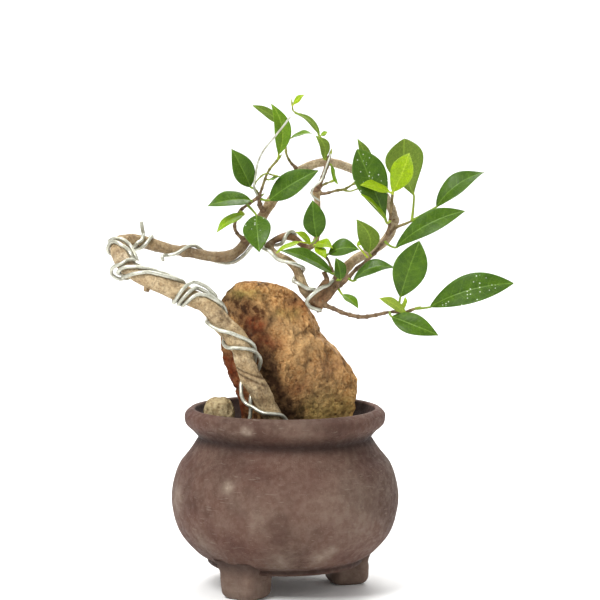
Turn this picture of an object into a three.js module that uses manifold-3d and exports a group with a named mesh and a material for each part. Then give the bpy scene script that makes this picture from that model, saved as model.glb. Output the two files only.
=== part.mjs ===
// Chinese banyan bonsai trained over a stone, in a clay pot with three feet.
// Millimetres, +Z up. The plant is seen from the front, which is -Y, with +X to the right.
import * as THREE from "three";
import { mergeVertices } from "three/addons/utils/BufferGeometryUtils.js";
import Module from "manifold-3d";

const wasm = await Module();
wasm.setup();

// Space kept between pieces that touch
const GAP = 0.35;

// Pot: its outside and inside as [radius, height] points of smooth curves
const POT = {
  baseHeight: 16,
  baseRadius: 44,
  drainRadius: 7,
  floor: 26.5,
  belly: [[49, 19.6], [57.5, 25], [68, 38.5], [72.5, 58], [68.5, 77], [60, 89], [54.7, 97]],
  rim: [[54.7, 97], [58.5, 101.5], [63, 106], [63.4, 112], [60, 115.7]],
  throat: [[57.4, 115.4], [55.8, 110], [51.6, 102.5], [49, 97]],
  inside: [[49, 97], [55, 87], [62.4, 75.5], [66.7, 58], [62.5, 41], [54, 33], [43, 28]],
  ridge: { radius: 49.4, low: 17.4, high: 19.6 },
  steps: { belly: 10, rim: 5, throat: 3, inside: 6 },
  sides: 32,
};
// Feet: turned round the pot from its front, in degrees, with the size of their tops
const FOOT = {
  turns: [-36, 108, 216],
  reach: 41,
  wide: 30,
  deep: 27,
  corner: 6,
  cornerSides: 2,
  top: 26,
  toe: 0.8,
  flare: 0.7,
};

// Soil: its height at the wall, its top's radius and how much it is heaped and rough, and the
// rings of its top as shares of that radius
const SOIL = { level: 100.5, radius: 50, heap: 2.5, rough: 0.9, clods: 9, rings: [0.86, 0.58, 0.28] };

// Rock outline by height: [height, left, right, front, back]
const ROCK = [
  [84, -14, 28, -4, 24],
  [95, -24, 40, -9, 33],
  [105, -28, 47, -12, 37],
  [113, -30, 52, -14, 39],
  [123, -32, 48.5, -14, 38],
  [134, -36, 45.5, -14, 37],
  [142, -38, 41, -14.5, 36],
  [150, -40, 34, -14.5, 35],
  [160, -42, 23.5, -14.5, 34],
  [168, -43.5, 20, -14.5, 32],
  [175, -44.5, 16.5, -14.5, 30],
  [181, -44.5, 11, -13.5, 28],
  [186, -43, 5, -12, 26],
  [190.5, -38, -5, -9, 21],
  [194, -30, -11, -4, 16],
];
// How square the rock is from above, how rough, and how far its ends are rounded
const ROCK_FORM = { sides: 22, square: 2.7, size: 0.98, rough: 0.045, crease: 16, foot: 4, crown: 1.6 };
const SIDE_STONE = { at: [-41, -15, 112], radii: [9.8, 8.2, 12.5], rough: 0.07, sides: 12, rings: 8 };

// Trunk centreline from the roots up, as [x, y, z, radius]
const TRUNK = [
  [8, -20, 80, 7.5], [4, -20.5, 89, 7], [-0.5, -21, 97.5, 6], [-4, -21.5, 105, 5.5],
  [-7, -22, 112.5, 5.4], [-11, -22.5, 118.5, 5.6], [-13.5, -23, 124, 6.1], [-17.5, -23, 131.5, 6.6],
  [-20.5, -23, 136.5, 6.8], [-23, -23, 142, 6.5], [-25, -23, 148, 6.2], [-27, -22.5, 156, 6.7],
  [-32, -22.5, 163.5, 6.9], [-37, -22, 168.5, 6.5], [-40, -22, 172, 6.2], [-43.5, -22, 177, 5.9],
  [-50, -22, 183, 5.3], [-58.5, -22, 187, 5.5], [-68, -22, 191, 5.9], [-75.5, -22, 194.5, 5.7],
  [-83, -21.5, 197.5, 5.4], [-90, -20, 200.5, 5.1], [-94.5, -18, 202.5, 4.9],
  [-99.5, -14, 206, 5.1], [-102.5, -9, 210.5, 5.4], [-105, -1, 216, 5], [-104.5, 6, 219.5, 4.4],
  [-101, 11, 220.5, 4], [-97, 13.5, 220.5, 3.9], [-89, 15, 219, 4], [-82, 15.5, 217, 4],
  [-75, 16, 215, 3.6], [-66.5, 16, 213.5, 3.1], [-55.5, 17, 211.5, 3.4], [-48.5, 18, 210, 3.3],
  [-42, 19, 209.5, 3.4], [-35, 20, 210.5, 3.6], [-29.5, 22, 214, 3.2], [-25, 23.5, 219.5, 3.2],
  [-18.5, 24, 229, 3.4], [-10.5, 26, 242, 3.6], [-1, 28, 255, 3.3], [11.5, 28, 265.5, 2.9],
  [25.5, 28, 270, 2.7], [39.5, 27, 267, 2.7], [53, 25, 260, 2.7], [64.5, 22, 247, 2.7],
  [69.5, 19, 234, 2.8], [65, 16, 221.5, 3], [54.5, 13, 213.5, 3.1], [44, 9, 208, 3.2],
  [36, 4, 200, 3.4], [29, -1, 190.5, 3.8], [21, -4, 182.5, 4.5],
];
// Leader that turns back up from the trunk's lowest bend
const LEADER = [
  [21, -4, 182.5, 4.2], [16, -6, 186.5, 3.5], [12, -7, 191.5, 3.2], [9.5, -7, 198, 3.1],
  [6.5, -7, 204.5, 2.9], [2.5, -6, 208.5, 2.6], [-3, -5, 211, 2.5], [-8, -2.5, 214.5, 2.4],
  [-10, 0.5, 217.5, 2.3], [-7.5, 3, 220.5, 2.3], [-3, 5, 222.5, 2.3], [1, 6, 223.5, 2.2],
  [6, 7, 222, 2.1], [11, 8, 218, 2], [15, 9, 216, 1.9], [18.5, 10, 218, 1.8],
  [20.5, 10, 224.5, 1.8], [21, 9, 232, 1.7], [21, 8, 240, 1.7], [20.5, 7, 246, 1.9],
  [19.5, 6, 252, 2.7],
];
// Bark: the share of its radius by which it swells and sinks, and how far its ridges run
const BARK = { ridge: 0.06, ridges: 2, rise: 9, run: 14 };
// Sides of the wood's tubes and the distance between their rings
const WOOD = {
  thick: { sides: 10, step: 9.5, bark: true },
  thin: { sides: 7, step: 6.5, bark: true },
  small: { sides: 5, step: 9 },
};
// Roots, cut stubs and knots on the wood
const OFFSHOOTS = [
  [[-1, -21, 99, 5.5], [13, -22, 94, 4], [28, -16, 86, 2]],
  [[-1, -21, 99, 5.5], [-15, -23, 93, 4], [-27, -20, 85, 2]],
  [[1, -21, 96, 5], [5, -31, 90, 3.5], [8, -36, 80, 2]],
  [[-84.5, -21.5, 197, 3], [-86, -22.5, 190.5, 1.5]],
  [[21, -4, 183, 3], [21.5, -5, 176, 1.5]],
  [[20.5, -4, 185, 3], [22, -5.5, 190.5, 2.3], [24.5, -7, 194.5, 1.7], [26.5, -8, 196.5, 1.6],
   [24.5, -8, 202, 1.2]],
];
const KNOTS = [
  [21, -4.5, 182.5, 4.9], [19.5, 6, 251.5, 3.4], [-10, 0.5, 217.5, 2.9], [69.5, 18, 233, 3.3],
  [-64, 15.5, 213.5, 4.2], [-98, 12.5, 220, 4.6],
];
const KNOT = { sides: 7, rings: 5 };

// Training wires wound on the wood. A wound point is [distance along the wood, turn round it in
// degrees, and how far it stands off the bark]. A free point, before or after, is [x, y, z].
const WIRE_RADIUS = 1.2;
const THIN_WIRE_RADIUS = 0.65;
const WIRE_REST = 0.15;
const WIRE_SIDES = 5;
const WIRE_STEP = 5.8;
const TIGHT_WIRE_STEP = 4.2;
const WOUND_SAMPLES = 5;
const WOUND_TENSION = 0.4;
const WIRES = {
  wire_first: {
    on: "trunk",
    wound: [
      [14, 150], [24, 105], [33.5, 60], [37.3, 20], [41.2, -18], [46, -66, 0.7], [50.5, -90, 3],
      [54.5, -97, 3.8], [59, -103, 2.6], [63, -120, 1], [66.5, -160], [70.5, -210], [75, -240],
      [78.5, -262], [81.5, -283], [84.3, -305], [87, -321], [90.5, -339], [95.5, -360],
      [100.5, -381], [105, -402], [109, -440], [112, -510], [115, -580], [118.5, -622, 1.5],
      [123, -630, 2.9], [128.5, -630, 3.2], [131.5, -642, 2.7], [134, -668, 1.3], [136, -705, 0.5],
      [137, -756], [138, -830], [140.5, -900], [142.5, -945], [145, -968], [150, -975],
      [158.5, -980], [167, -982], [172, -984], [174, -1030], [175, -1075], [177.5, -1110, 0.8],
      [178.5, -1140, 2.2], [178.5, -1168, 4], [176.5, -1190, 3.6], [176, -1220, 3],
      [176.5, -1260, 2.8], [178, -1290, 2.6], [181, -1310, 2.2], [186, -1318, 2], [191, -1330, 1.8],
      [193.5, -1352, 0.8], [195.5, -1377], [196.5, -1405], [197.5, -1440], [199.5, -1480],
      [203, -1530], [208, -1560], [212, -1578], [217, -1612], [220.5, -1660], [223, -1710],
      [223.5, -1780], [226, -1850], [229, -1900],
    ],
  },
  wire_second: {
    on: "trunk",
    before: [
      [-24, -21, 96], [-23, -20, 106], [-21.5, -19.5, 113.5],
    ],
    wound: [
      [52, -125, 1.2], [56, -150, 0.5], [60, -175], [64, -205], [68, -235, 0.5], [71.5, -259, 1.6],
      [74.5, -268, 2], [77, -275, 1.5], [79, -291, 0.9], [81, -317, 0.5], [83.3, -352, 0.2],
      [87, -391], [91, -440], [95, -478], [99, -525], [104, -565], [109, -595], [113.5, -622],
      [117.5, -638], [121.5, -634], [127, -630], [131, -687], [133, -729], [134.2, -765],
      [134.8, -830], [137, -900], [140, -950], [142, -978], [144.5, -990], [150, -996],
      [157.5, -1005], [166, -1038], [172, -1077], [176, -1152], [177, -1200], [177.5, -1255],
      [178.5, -1300], [180, -1330], [184, -1345], [188, -1380], [191.5, -1400], [194, -1430],
      [193.5, -1480], [194.5, -1520], [198, -1560], [203, -1590], [208.5, -1612], [212.5, -1634],
      [215.5, -1668], [218, -1690], [218.5, -1755],
    ],
    after: [
      [-90.5, 12.5, 226.5], [-91.5, 12, 232.5],
    ],
  },
  wire_third: {
    on: "trunk",
    wound: [
      [111.5, -640], [114, -652], [117, -659], [120.5, -667], [125.5, -686], [128.5, -717],
      [131, -765], [132, -815], [133.5, -900], [136.5, -955], [140.5, -1000], [147.5, -1019],
      [158, -1038], [166, -1086], [172.5, -1155], [172.3, -1195], [172, -1235],
    ],
  },
  wire_rear: {
    on: "trunk",
    before: [
      [-77.5, 10, 207.5], [-78, 9.5, 210.5],
    ],
    wound: [
      [236.5, 175], [241.5, 150], [246, 100], [249.5, 55], [254, 10], [261, -50], [270, -105],
      [281, -140], [291, -165],
    ],
  },
  wire_leader: {
    on: "leader",
    step: TIGHT_WIRE_STEP,
    wound: [
      [8, 80], [12, 25], [15, -3], [18.5, -48], [21, -130], [23, -220], [26, -309], [29.5, -357],
      [34, -385], [39, -395], [45, -378], [50, -420], [55, -500], [60, -590], [64, -660],
      [67.5, -735], [71, -800],
    ],
  },
  wire_bend: {
    radius: WIRE_RADIUS,
    before: [
      [30.4, -4.5, 196.5], [26.6, -8.2, 193.4], [22.8, -10, 191.8], [16.7, -12.5, 187.5],
      [13.7, -11.5, 183.2], [15.5, -10.8, 180.3], [19.2, -10.3, 178.6], [22.8, -9.8, 177.6],
    ],
  },
  wire_free: {
    radius: THIN_WIRE_RADIUS,
    before: [
      [-17.5, 11.4, 249], [-19.5, 7, 254], [-18.5, 3, 262], [-17, 0, 270], [-13.5, -2.5, 277.5],
      [-7.5, -4, 285], [-1, -5, 293], [3.5, -5.5, 299],
    ],
  },
  wire_crown: {
    radius: THIN_WIRE_RADIUS,
    before: [
      [22, 2.5, 246], [17, 0.8, 250], [18, 0.3, 254.5], [22.5, 1.2, 258.5], [25, 2, 264.5],
      [27, 2.4, 270], [29, 3, 275.5],
    ],
  },
};

// Leafy shoots. A twig is a list of [x, y, z, radius]. A leaf is [base of its blade, tip, width,
// turn away from the front, arch, bow to its side, and its form where it isn't egg-shaped].
const BLADE = {
  thickness: 0.8,
  fold: 14,
  wave: 0.35,
  waves: 9,
  taper: 0.35,
  sharpness: 8,
  narrowest: 0.06,
};
// Leaf forms: how far its widest part lies towards the tip, and how pointed its ends are
const FORMS = {
  egg: { shoulder: 0.9, fullness: 0.8 },
  blunt: { shoulder: 1.15, fullness: 0.7 },
  spoon: { shoulder: 1.7, fullness: 0.72 },
};
// Halves and steps of a blade's grid, for leaves from the large width on and for the rest
const LARGE_LEAF = { width: 16, grid: [2, 6] };
const SMALL_LEAF = { grid: [1, 5] };
// Stalk: how far it runs into its blade, as a share of the blade's length
const STALK = { radius: 0.7, into: 0.06, form: { sides: 3, step: 12 } };
const TWIG = { sides: 5, step: 9.5 };
const SPRAYS = {
  spray_crown: {
    twigs: [
      [[19.5, 6, 251.5, 2.2], [23, 5, 259, 1.7], [26.5, 5, 268, 1.5], [28.5, 5, 275, 1.1]],
      [[19.5, 6, 252.5, 1.6], [24, 5, 256, 1], [29, 5, 258, 0.8]],
      [[26.8, 5, 270, 0.9], [24.7, 8, 279.8, 0.8], [21.8, 9.5, 286.7, 0.8], [18.1, 12, 294, 0.7],
       [13, 13, 299.4, 0.7], [7.9, 13, 301.1, 0.6], [5.1, 13, 302.8, 0.6], [4.6, 13, 306, 0.6]],
    ],
    leaves: [
      [[24.5, 4, 272.5], [19.5, 2, 287], 8, 30, 2, 2],
      [[21.8, 8.5, 286.8], [6, 12, 301.1], 5.5, 45, 1.5, 2.5],
      [[5.4, 12.5, 306.6], [12.4, 10, 312.9], 4.2, -30, 1, 0],
      [[22.5, 6, 287], [27, 6, 289.5], 3, -20, 0, 0],
      [[29.5, 4.5, 268.5], [33, -2, 256.5], 5.5, 60, 0, 0],
    ],
  },
  spray_upper_left: {
    twigs: [
      [[8, 28, 264, 2.2], [6.5, 26, 266.5, 1.3], [3, 24, 270.5, 1], [1, 23, 274.5, 0.9],
       [0.5, 22.5, 278.5, 0.8], [1, 22, 284.5, 0.7]],
    ],
    leaves: [
      [[-0.7, 22, 294], [-20.6, 20, 306.2], 7.7, 35, 1, -0.1],
      [[4, 20, 285.5], [17, 16, 288.5], 7, -65, 1, 0],
    ],
  },
  spray_left: {
    twigs: [
      [[-13.5, 25, 238, 2.2], [-16, 19, 242.5, 1.8], [-16.5, 14.5, 247.5, 1.4],
       [-15, 11, 252.5, 1.1], [-13, 9, 258.5, 1], [-10.5, 8, 264.5, 0.9], [-4.5, 8, 272, 0.9]],
      [[-24.5, 21, 219, 2], [-30.5, 17, 224.5, 1.4], [-32, 13, 230, 1.2], [-29, 13, 238.5, 1.2],
       [-24, 14, 243, 1.2], [-16.5, 14.5, 248, 1.4]],
      [[-16.5, 13.5, 249.5, 0.9], [-19.5, 9, 255, 0.7], [-16.5, 7, 260, 0.6], [-12, 7, 263, 0.6],
       [-7.5, 8, 262, 0.6]],
    ],
    leaves: [
      [[-4, 7, 275], [-8.5, 2, 307], 11.5, 20, 2, 4],
      [[-22, 12, 254.5], [-33.5, 4, 278.5], 15.2, 25, 2, -0.6],
      [[-22, 11, 246], [-48.5, -2, 243], 14, 45, 4, -1.3],
      [[-26, 10, 237], [-43, 2, 226.5], 8, 40, 2, 0.5],
      [[-18, 6, 236.5], [-16, -9, 214.5], 18, 5, 2, 0],
      [[-10, 14, 246], [21, 8, 265], 16.5, -25, 3, 0],
      [[-10, 10, 259], [-3, 8, 261.5], 4, -60, 0, 0],
    ],
  },
  spray_inner: {
    twigs: [
      [[19.5, 6, 251.5, 1.8], [24, 5, 250.5, 1.2], [33, 5, 252.5, 1], [37, 6, 253, 0.9],
       [44.5, 9, 257, 0.8], [52, 13, 260, 0.8]],
      [[36, 6, 253, 0.8], [41, 5, 252, 0.6], [46, 6, 253.5, 0.6]],
    ],
    leaves: [
      [[54, 13, 262], [46, 12, 285], 8.5, 30, 2, 0],
    ],
  },
  spray_centre: {
    from: "spray_right",
    twigs: [
      [[32, -3, 191, 1.4], [33.5, -8.5, 194.5, 1.2], [29.5, -9, 203.5, 1.1], [26.5, -7, 210, 1],
       [19.5, -4, 216.5, 0.9], [16.5, -3, 219, 1]],
    ],
    leaves: [
      [[16, -3, 219.5], [7, -8, 227], 6, 45, 1, 0],
      [[9.5, -6, 220.5], [-5.5, -14, 214], 5, 55, 1, 0],
      [[19, -3, 218.5], [30, -12, 217], 9, -50, 2, 0],
      [[19.5, -6, 217.5], [25.5, -14, 210.5], 7, -30, 1, 0],
      [[20, -2, 223], [17.5, -4, 246.5], 15, 15, 2, -1.3],
      [[29.5, -12, 201], [-2.5, -20, 216], 14, 58, 3, 0],
      [[27.5, -6, 213], [46.5, -10, 216], 12.5, -35, 3, -1],
      [[35, -13, 197.5], [32, -16, 211], 9.5, 30, 1, 0],
    ],
  },
  spray_right: {
    twigs: [
      [[26, -2, 187.5, 2.2], [35.5, -3.5, 193.5, 1.6], [44, -1, 202, 1.5], [52.5, 2, 209, 1.4],
       [58.5, 4, 215, 1.3], [64, 6, 222.5, 1.2], [69.5, 8, 228.5, 1.1], [76, 9, 231, 1],
       [80.5, 10, 233, 0.9]],
      [[64.5, 6, 223, 1.2], [66, 5, 230.5, 1.2], [67, 4, 239, 1.1], [68, 3, 250.5, 1]],
    ],
    leaves: [
      [[36, -8, 187.5], [46, -14, 179.5], 8, -50, 1, 0],
      [[64, 6, 232.5], [45.5, 2, 278.5], 23, 20, 3, -0.8, "spoon"],
      [[66, 1, 251.5], [46.5, -4, 256.5], 11, 55, 1, 0],
      [[68, 2, 251.5], [78, -2, 276], 15, -20, 2, 1.5, "blunt"],
      [[64.5, 0, 232.5], [48, -5, 250.5], 9, 75, 1, 0],
      [[82, 14, 248.5], [76, 20, 285], 25, 0, -3, -2.4, "spoon"],
      [[96, 8, 242], [126, 6, 264], 15, -38, 4, -1.5],
      [[70, 2, 216.5], [113, -6, 240], 15, -28, 4, -2, "blunt"],
      [[43, -7, 196], [69.5, -12, 204.5], 12, -50, 3, -3],
      [[53, 0, 213.5], [45, -4, 234.5], 14.5, -25, 2, 5.5],
      [[45.5, 0, 218.5], [50, -3, 221.5], 4, -40, 0, 0],
    ],
  },
  spray_low_right: {
    twigs: [
      [[22, -5, 182, 2.2], [28.5, -8, 179.5, 1.6], [37, -9, 176, 1.5], [48, -9, 173.5, 1.6],
       [59, -8, 175, 1.3], [67, -7, 176.5, 1.2], [76, -6, 176.5, 1.1], [82, -6, 178.5, 1]],
    ],
    leaves: [
      [[72.5, -9, 186], [84, -14, 221.5], 21.5, 8, 3, -1.2, "blunt"],
      [[91, -7, 179.5], [142.5, -18, 195.5], 20, -28, 5, -1.5, "blunt"],
      [[67, -12, 174], [95.5, -24, 163.5], 13.8, -20, 2.5, 0.6],
      [[75.5, -11, 176.5], [59, -16, 186], 8.5, 45, 1, 0],
      [[73.5, -8.4, 178.2], [75.8, -10.6, 186], 4.3, 38, 0, 0],
    ],
  },
};

// Finishes
const FINISH = {
  clay: { color: 0x6b554c, roughness: 0.75, metalness: 0 },
  soil: { color: 0x2e2620, roughness: 0.95, metalness: 0 },
  ochre: { color: 0x9a6a3c, roughness: 0.85, metalness: 0 },
  sand: { color: 0xb9a283, roughness: 0.85, metalness: 0 },
  bark: { color: 0xb89f80, roughness: 0.8, metalness: 0 },
  wire: { color: 0xc9ccc8, roughness: 0.35, metalness: 1 },
  foliage: { color: 0x4e7a2a, roughness: 0.5, metalness: 0 },
};

const vector = (p) => new THREE.Vector3(p[0], p[1], p[2]);
const lerp = THREE.MathUtils.lerp;
const radians = THREE.MathUtils.degToRad;

// Closed mesh to manifold solid
function solidOf(geometry) {
  const bare = new THREE.BufferGeometry();
  bare.setAttribute("position", geometry.getAttribute("position"));
  if (geometry.index) bare.setIndex(geometry.index);
  const merged = mergeVertices(bare, 1e-3);
  const kept = [];
  const index = merged.index.array;
  for (let i = 0; i < index.length; i += 3) {
    const [a, b, c] = [index[i], index[i + 1], index[i + 2]];
    if (a !== b && b !== c && c !== a) kept.push(a, b, c);
  }
  return new wasm.Manifold(
    new wasm.Mesh({
      numProp: 3,
      vertProperties: merged.attributes.position.array,
      triVerts: new Uint32Array(kept),
    }),
  );
}

function geometryOf(solid) {
  const mesh = solid.getMesh();
  const geometry = new THREE.BufferGeometry();
  geometry.setAttribute("position", new THREE.BufferAttribute(mesh.vertProperties, 3));
  geometry.setIndex(new THREE.BufferAttribute(mesh.triVerts, 1));
  return geometry;
}

const joined = (solids) => solids.reduce((sum, next) => sum.add(next));
const cutBy = (solid, cutters) => cutters.reduce((left, cutter) => left.subtract(cutter), solid);

// The largest body of a solid, without the scraps that a cut leaves
function largest(solid) {
  const bodies = solid.decompose();
  return bodies.reduce((best, body) => (body.volume() > best.volume() ? body : best));
}

// Smooth uneven value from -1 to 1 at a place, with features of the given size
function unevenness(x, y, z, size) {
  const [a, b, c] = [x / size, y / size, z / size];
  const first = Math.sin(2.3 * a + 1.7 * Math.sin(1.9 * b + 0.6) + 0.8 * c);
  const second = Math.sin(2.9 * b + 1.3 * Math.sin(2.2 * c + 1.1) - 0.7 * a);
  const third = Math.sin(2.6 * c + 1.5 * Math.sin(2.1 * a - 0.4) + 0.9 * b);
  return (first + second + third) / 3;
}

// Smooth line through [radius, height] points, as points for a lathe
function turned(points, steps) {
  const line = new THREE.SplineCurve(points.map((p) => new THREE.Vector2(p[0], p[1])));
  return line.getPoints(steps);
}

// Grid of rows bent into a closed skin: each row is a ring, and the two ends are capped by a point
function ringed(rows, firstTip, lastTip) {
  const sides = rows[0].length;
  const places = [...rows.flat(), firstTip, lastTip].flatMap((p) => [p.x, p.y, p.z]);
  const [first, last] = [rows.length * sides, rows.length * sides + 1];
  const index = [];
  for (let side = 0; side < sides; side++) {
    const next = (side + 1) % sides;
    index.push(first, next, side);
    const top = (rows.length - 1) * sides;
    index.push(last, top + side, top + next);
    for (let row = 0; row < rows.length - 1; row++) {
      const [a, b] = [row * sides + side, row * sides + next];
      index.push(a, b, b + sides, a, b + sides, a + sides);
    }
  }
  const geometry = new THREE.BufferGeometry();
  geometry.setAttribute("position", new THREE.Float32BufferAttribute(places, 3));
  geometry.setIndex(index);
  return geometry;
}

// A centreline with its radii: gives place, direction, cross directions and radius at a distance
function stemLine(points) {
  const curve = new THREE.CatmullRomCurve3(points.map(vector), false, "centripetal");
  curve.arcLengthDivisions = 60 * points.length;
  const length = curve.getLength();
  const steps = Math.ceil(length / 1.5);
  const frames = curve.computeFrenetFrames(steps, false);
  const frameAt = (share) => {
    const step = THREE.MathUtils.clamp(share, 0, 1) * steps;
    const low = Math.min(Math.floor(step), steps - 1);
    const mix = (list) => list[low].clone().lerp(list[low + 1], step - low).normalize();
    return { normal: mix(frames.normals), binormal: mix(frames.binormals) };
  };
  const radiusAt = (share) => {
    const at = curve.getUtoTmapping(share) * (points.length - 1);
    const low = Math.min(Math.floor(at), points.length - 2);
    return lerp(points[low][3], points[low + 1][3], at - low);
  };
  return { curve, length, frameAt, radiusAt };
}

// How far the bark stands out at a place, as a share of the wood's radius
function barkSwell(out, centre) {
  const along = centre.z / BARK.rise + centre.x / BARK.run;
  return 1 + BARK.ridge * unevenness(out.x * BARK.ridges, out.y * BARK.ridges, along, 1);
}

// Tube along a stem line, grown by extra, with the swellings of bark if it has any
function limb(line, { sides, step, bark = false, extra = 0 }) {
  const count = Math.max(2, Math.ceil(line.length / step));
  const rows = [];
  for (let row = 0; row <= count; row++) {
    const share = row / count;
    const centre = line.curve.getPointAt(share);
    const { normal, binormal } = line.frameAt(share);
    const radius = line.radiusAt(share);
    rows.push(
      Array.from({ length: sides }, (_, side) => {
        const turn = (2 * Math.PI * side) / sides;
        const out = normal.clone().multiplyScalar(Math.cos(turn));
        out.addScaledVector(binormal, Math.sin(turn));
        const swell = bark ? barkSwell(out, centre) : 1;
        return out.multiplyScalar(radius * swell + extra).add(centre);
      }),
    );
  }
  const tangent = (share) => line.curve.getTangentAt(share);
  const before = line.curve.getPointAt(0).addScaledVector(tangent(0), -extra);
  const after = line.curve.getPointAt(1).addScaledVector(tangent(1), extra);
  return ringed(rows, before, after);
}

function knotBall([x, y, z, radius], extra) {
  return new THREE.SphereGeometry(radius + extra, KNOT.sides, KNOT.rings).translate(x, y, z);
}

// Pot body turned on the wheel, with a hole to drain it, and three tapered block feet
function potSolid() {
  const { ridge, steps } = POT;
  const outline = [
    new THREE.Vector2(POT.baseRadius, POT.baseHeight),
    new THREE.Vector2(ridge.radius, ridge.low),
    ...turned(POT.belly, steps.belly),
    ...turned(POT.rim, steps.rim).slice(1),
    ...turned(POT.throat, steps.throat),
    ...turned(POT.inside, steps.inside).slice(1),
    new THREE.Vector2(POT.drainRadius, POT.floor),
    new THREE.Vector2(POT.drainRadius, POT.baseHeight),
    new THREE.Vector2(POT.baseRadius, POT.baseHeight),
  ];
  const body = solidOf(new THREE.LatheGeometry(outline, POT.sides).rotateX(Math.PI / 2));
  return joined([body, ...feet()]);
}

function feet() {
  const { wide, deep, corner } = FOOT;
  const outline = new THREE.Shape();
  const [halfWide, halfDeep] = [wide / 2 - corner, deep / 2 - corner];
  outline.absarc(halfWide, halfDeep, corner, 0, Math.PI / 2);
  outline.absarc(-halfWide, halfDeep, corner, Math.PI / 2, Math.PI);
  outline.absarc(-halfWide, -halfDeep, corner, Math.PI, 1.5 * Math.PI);
  outline.absarc(halfWide, -halfDeep, corner, 1.5 * Math.PI, 2 * Math.PI);
  return FOOT.turns.map((turn) => {
    const block = new THREE.ExtrudeGeometry(outline, {
      depth: FOOT.top,
      steps: 2,
      curveSegments: FOOT.cornerSides,
      bevelEnabled: false,
    });
    const place = block.getAttribute("position");
    for (let i = 0; i < place.count; i++) {
      const rise = place.getZ(i) / FOOT.top;
      const size = lerp(FOOT.toe, 1, Math.pow(rise, FOOT.flare));
      place.setXY(i, place.getX(i) * size, place.getY(i) * size);
    }
    block.translate(0, -FOOT.reach, 0);
    block.rotateZ(radians(turn));
    return solidOf(block);
  });
}

// Soil: fills the pot to a rough, slightly heaped top
function soilSolid(cutters) {
  const { level, radius, heap } = SOIL;
  const wall = turned(POT.inside, POT.steps.inside)
    .reverse()
    .map((p) => new THREE.Vector2(p.x - GAP, p.y + GAP));
  const top = [1, ...SOIL.rings, 0].map(
    (share) => new THREE.Vector2(radius * share, level + heap * (1 - share * share)),
  );
  const outline = [new THREE.Vector2(0, POT.floor + GAP), ...wall, ...top];
  const filling = new THREE.LatheGeometry(outline, POT.sides);
  const place = filling.getAttribute("position");
  for (let i = 0; i < place.count; i++) {
    const [x, y, z] = [place.getX(i), place.getY(i), place.getZ(i)];
    if (y > level) place.setY(i, y + SOIL.rough * unevenness(x, z, 0, SOIL.clods));
  }
  return largest(cutBy(solidOf(filling.rotateX(Math.PI / 2)), cutters));
}

// Rock: a rounded slab by its outline at each height, with creases and facets
function rockSolid(extra) {
  const { sides, square, size, rough, crease } = ROCK_FORM;
  const rows = ROCK.map(([z, left, right, front, back]) =>
    Array.from({ length: sides }, (_, side) => {
      const turn = (2 * Math.PI * side) / sides;
      const [c, s] = [Math.cos(turn), Math.sin(turn)];
      const round = Math.pow(Math.abs(c) ** square + Math.abs(s) ** square, -1 / square);
      const reach = round * (size + rough * unevenness(c * 2, s * 2, z / crease, 1));
      const x = (left + right) / 2 + ((right - left) / 2) * c * reach;
      const y = (front + back) / 2 + ((back - front) / 2) * s * reach;
      return new THREE.Vector3(x + extra * c, y + extra * s, z);
    }),
  );
  const tip = (row, rise) => {
    const [z, left, right, front, back] = row;
    return new THREE.Vector3((left + right) / 2, (front + back) / 2, z + rise);
  };
  const low = tip(ROCK[0], -ROCK_FORM.foot - extra);
  const high = tip(ROCK[ROCK.length - 1], ROCK_FORM.crown + extra);
  return solidOf(ringed(rows, low, high));
}

function sideStoneSolid(extra) {
  const { at, radii, rough, sides, rings } = SIDE_STONE;
  const pebble = new THREE.SphereGeometry(1, sides, rings);
  const place = pebble.getAttribute("position");
  for (let i = 0; i < place.count; i++) {
    const [x, y, z] = [place.getX(i), place.getY(i), place.getZ(i)];
    const reach = 1 + rough * unevenness(x, y, z, 1);
    place.setXYZ(
      i,
      at[0] + x * (radii[0] * reach + extra),
      at[1] + y * (radii[1] * reach + extra),
      at[2] + z * (radii[2] * reach + extra),
    );
  }
  return solidOf(pebble);
}

// Trunk, leader, roots, stubs and knots as one body
const LINES = { trunk: stemLine(TRUNK), leader: stemLine(LEADER) };

function trunkSolid(extra) {
  return joined([
    solidOf(limb(LINES.trunk, { ...WOOD.thick, extra })),
    solidOf(limb(LINES.leader, { ...WOOD.thin, extra })),
    ...OFFSHOOTS.map((points) => solidOf(limb(stemLine(points), { ...WOOD.small, extra }))),
    ...KNOTS.map((knot) => solidOf(knotBall(knot, extra))),
  ]);
}

// Place of a wound point: on the bark at a distance along the wood and a turn round it
function onBark(line, distance, turn, lift) {
  const share = distance / line.length;
  const { normal, binormal } = line.frameAt(share);
  const centre = line.curve.getPointAt(share);
  const out = normal.multiplyScalar(Math.cos(radians(turn)));
  out.addScaledVector(binormal, Math.sin(radians(turn)));
  const reach = line.radiusAt(share) * barkSwell(out, centre) + GAP + WIRE_REST + WIRE_RADIUS;
  return centre.addScaledVector(out, reach + lift);
}

// Wire from its free points onto the wood, round it and off again
function wireSolid(wire, extra = 0) {
  const { on, before = [], wound = [], after = [], radius = WIRE_RADIUS, step = WIRE_STEP } = wire;
  const path = [...before];
  if (wound.length > 0) {
    const course = new THREE.CatmullRomCurve3(
      wound.map(([distance, turn, lift = 0]) => new THREE.Vector3(distance, turn, lift)),
      false,
      "catmullrom",
      WOUND_TENSION,
    );
    const samples = course.getPoints(WOUND_SAMPLES * (wound.length - 1));
    path.push(...samples.map((p) => onBark(LINES[on], p.x, p.y, p.z).toArray()));
  }
  path.push(...after);
  const line = stemLine(path.map(([x, y, z]) => [x, y, z, radius]));
  return solidOf(limb(line, { sides: WIRE_SIDES, step, extra }));
}

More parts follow.
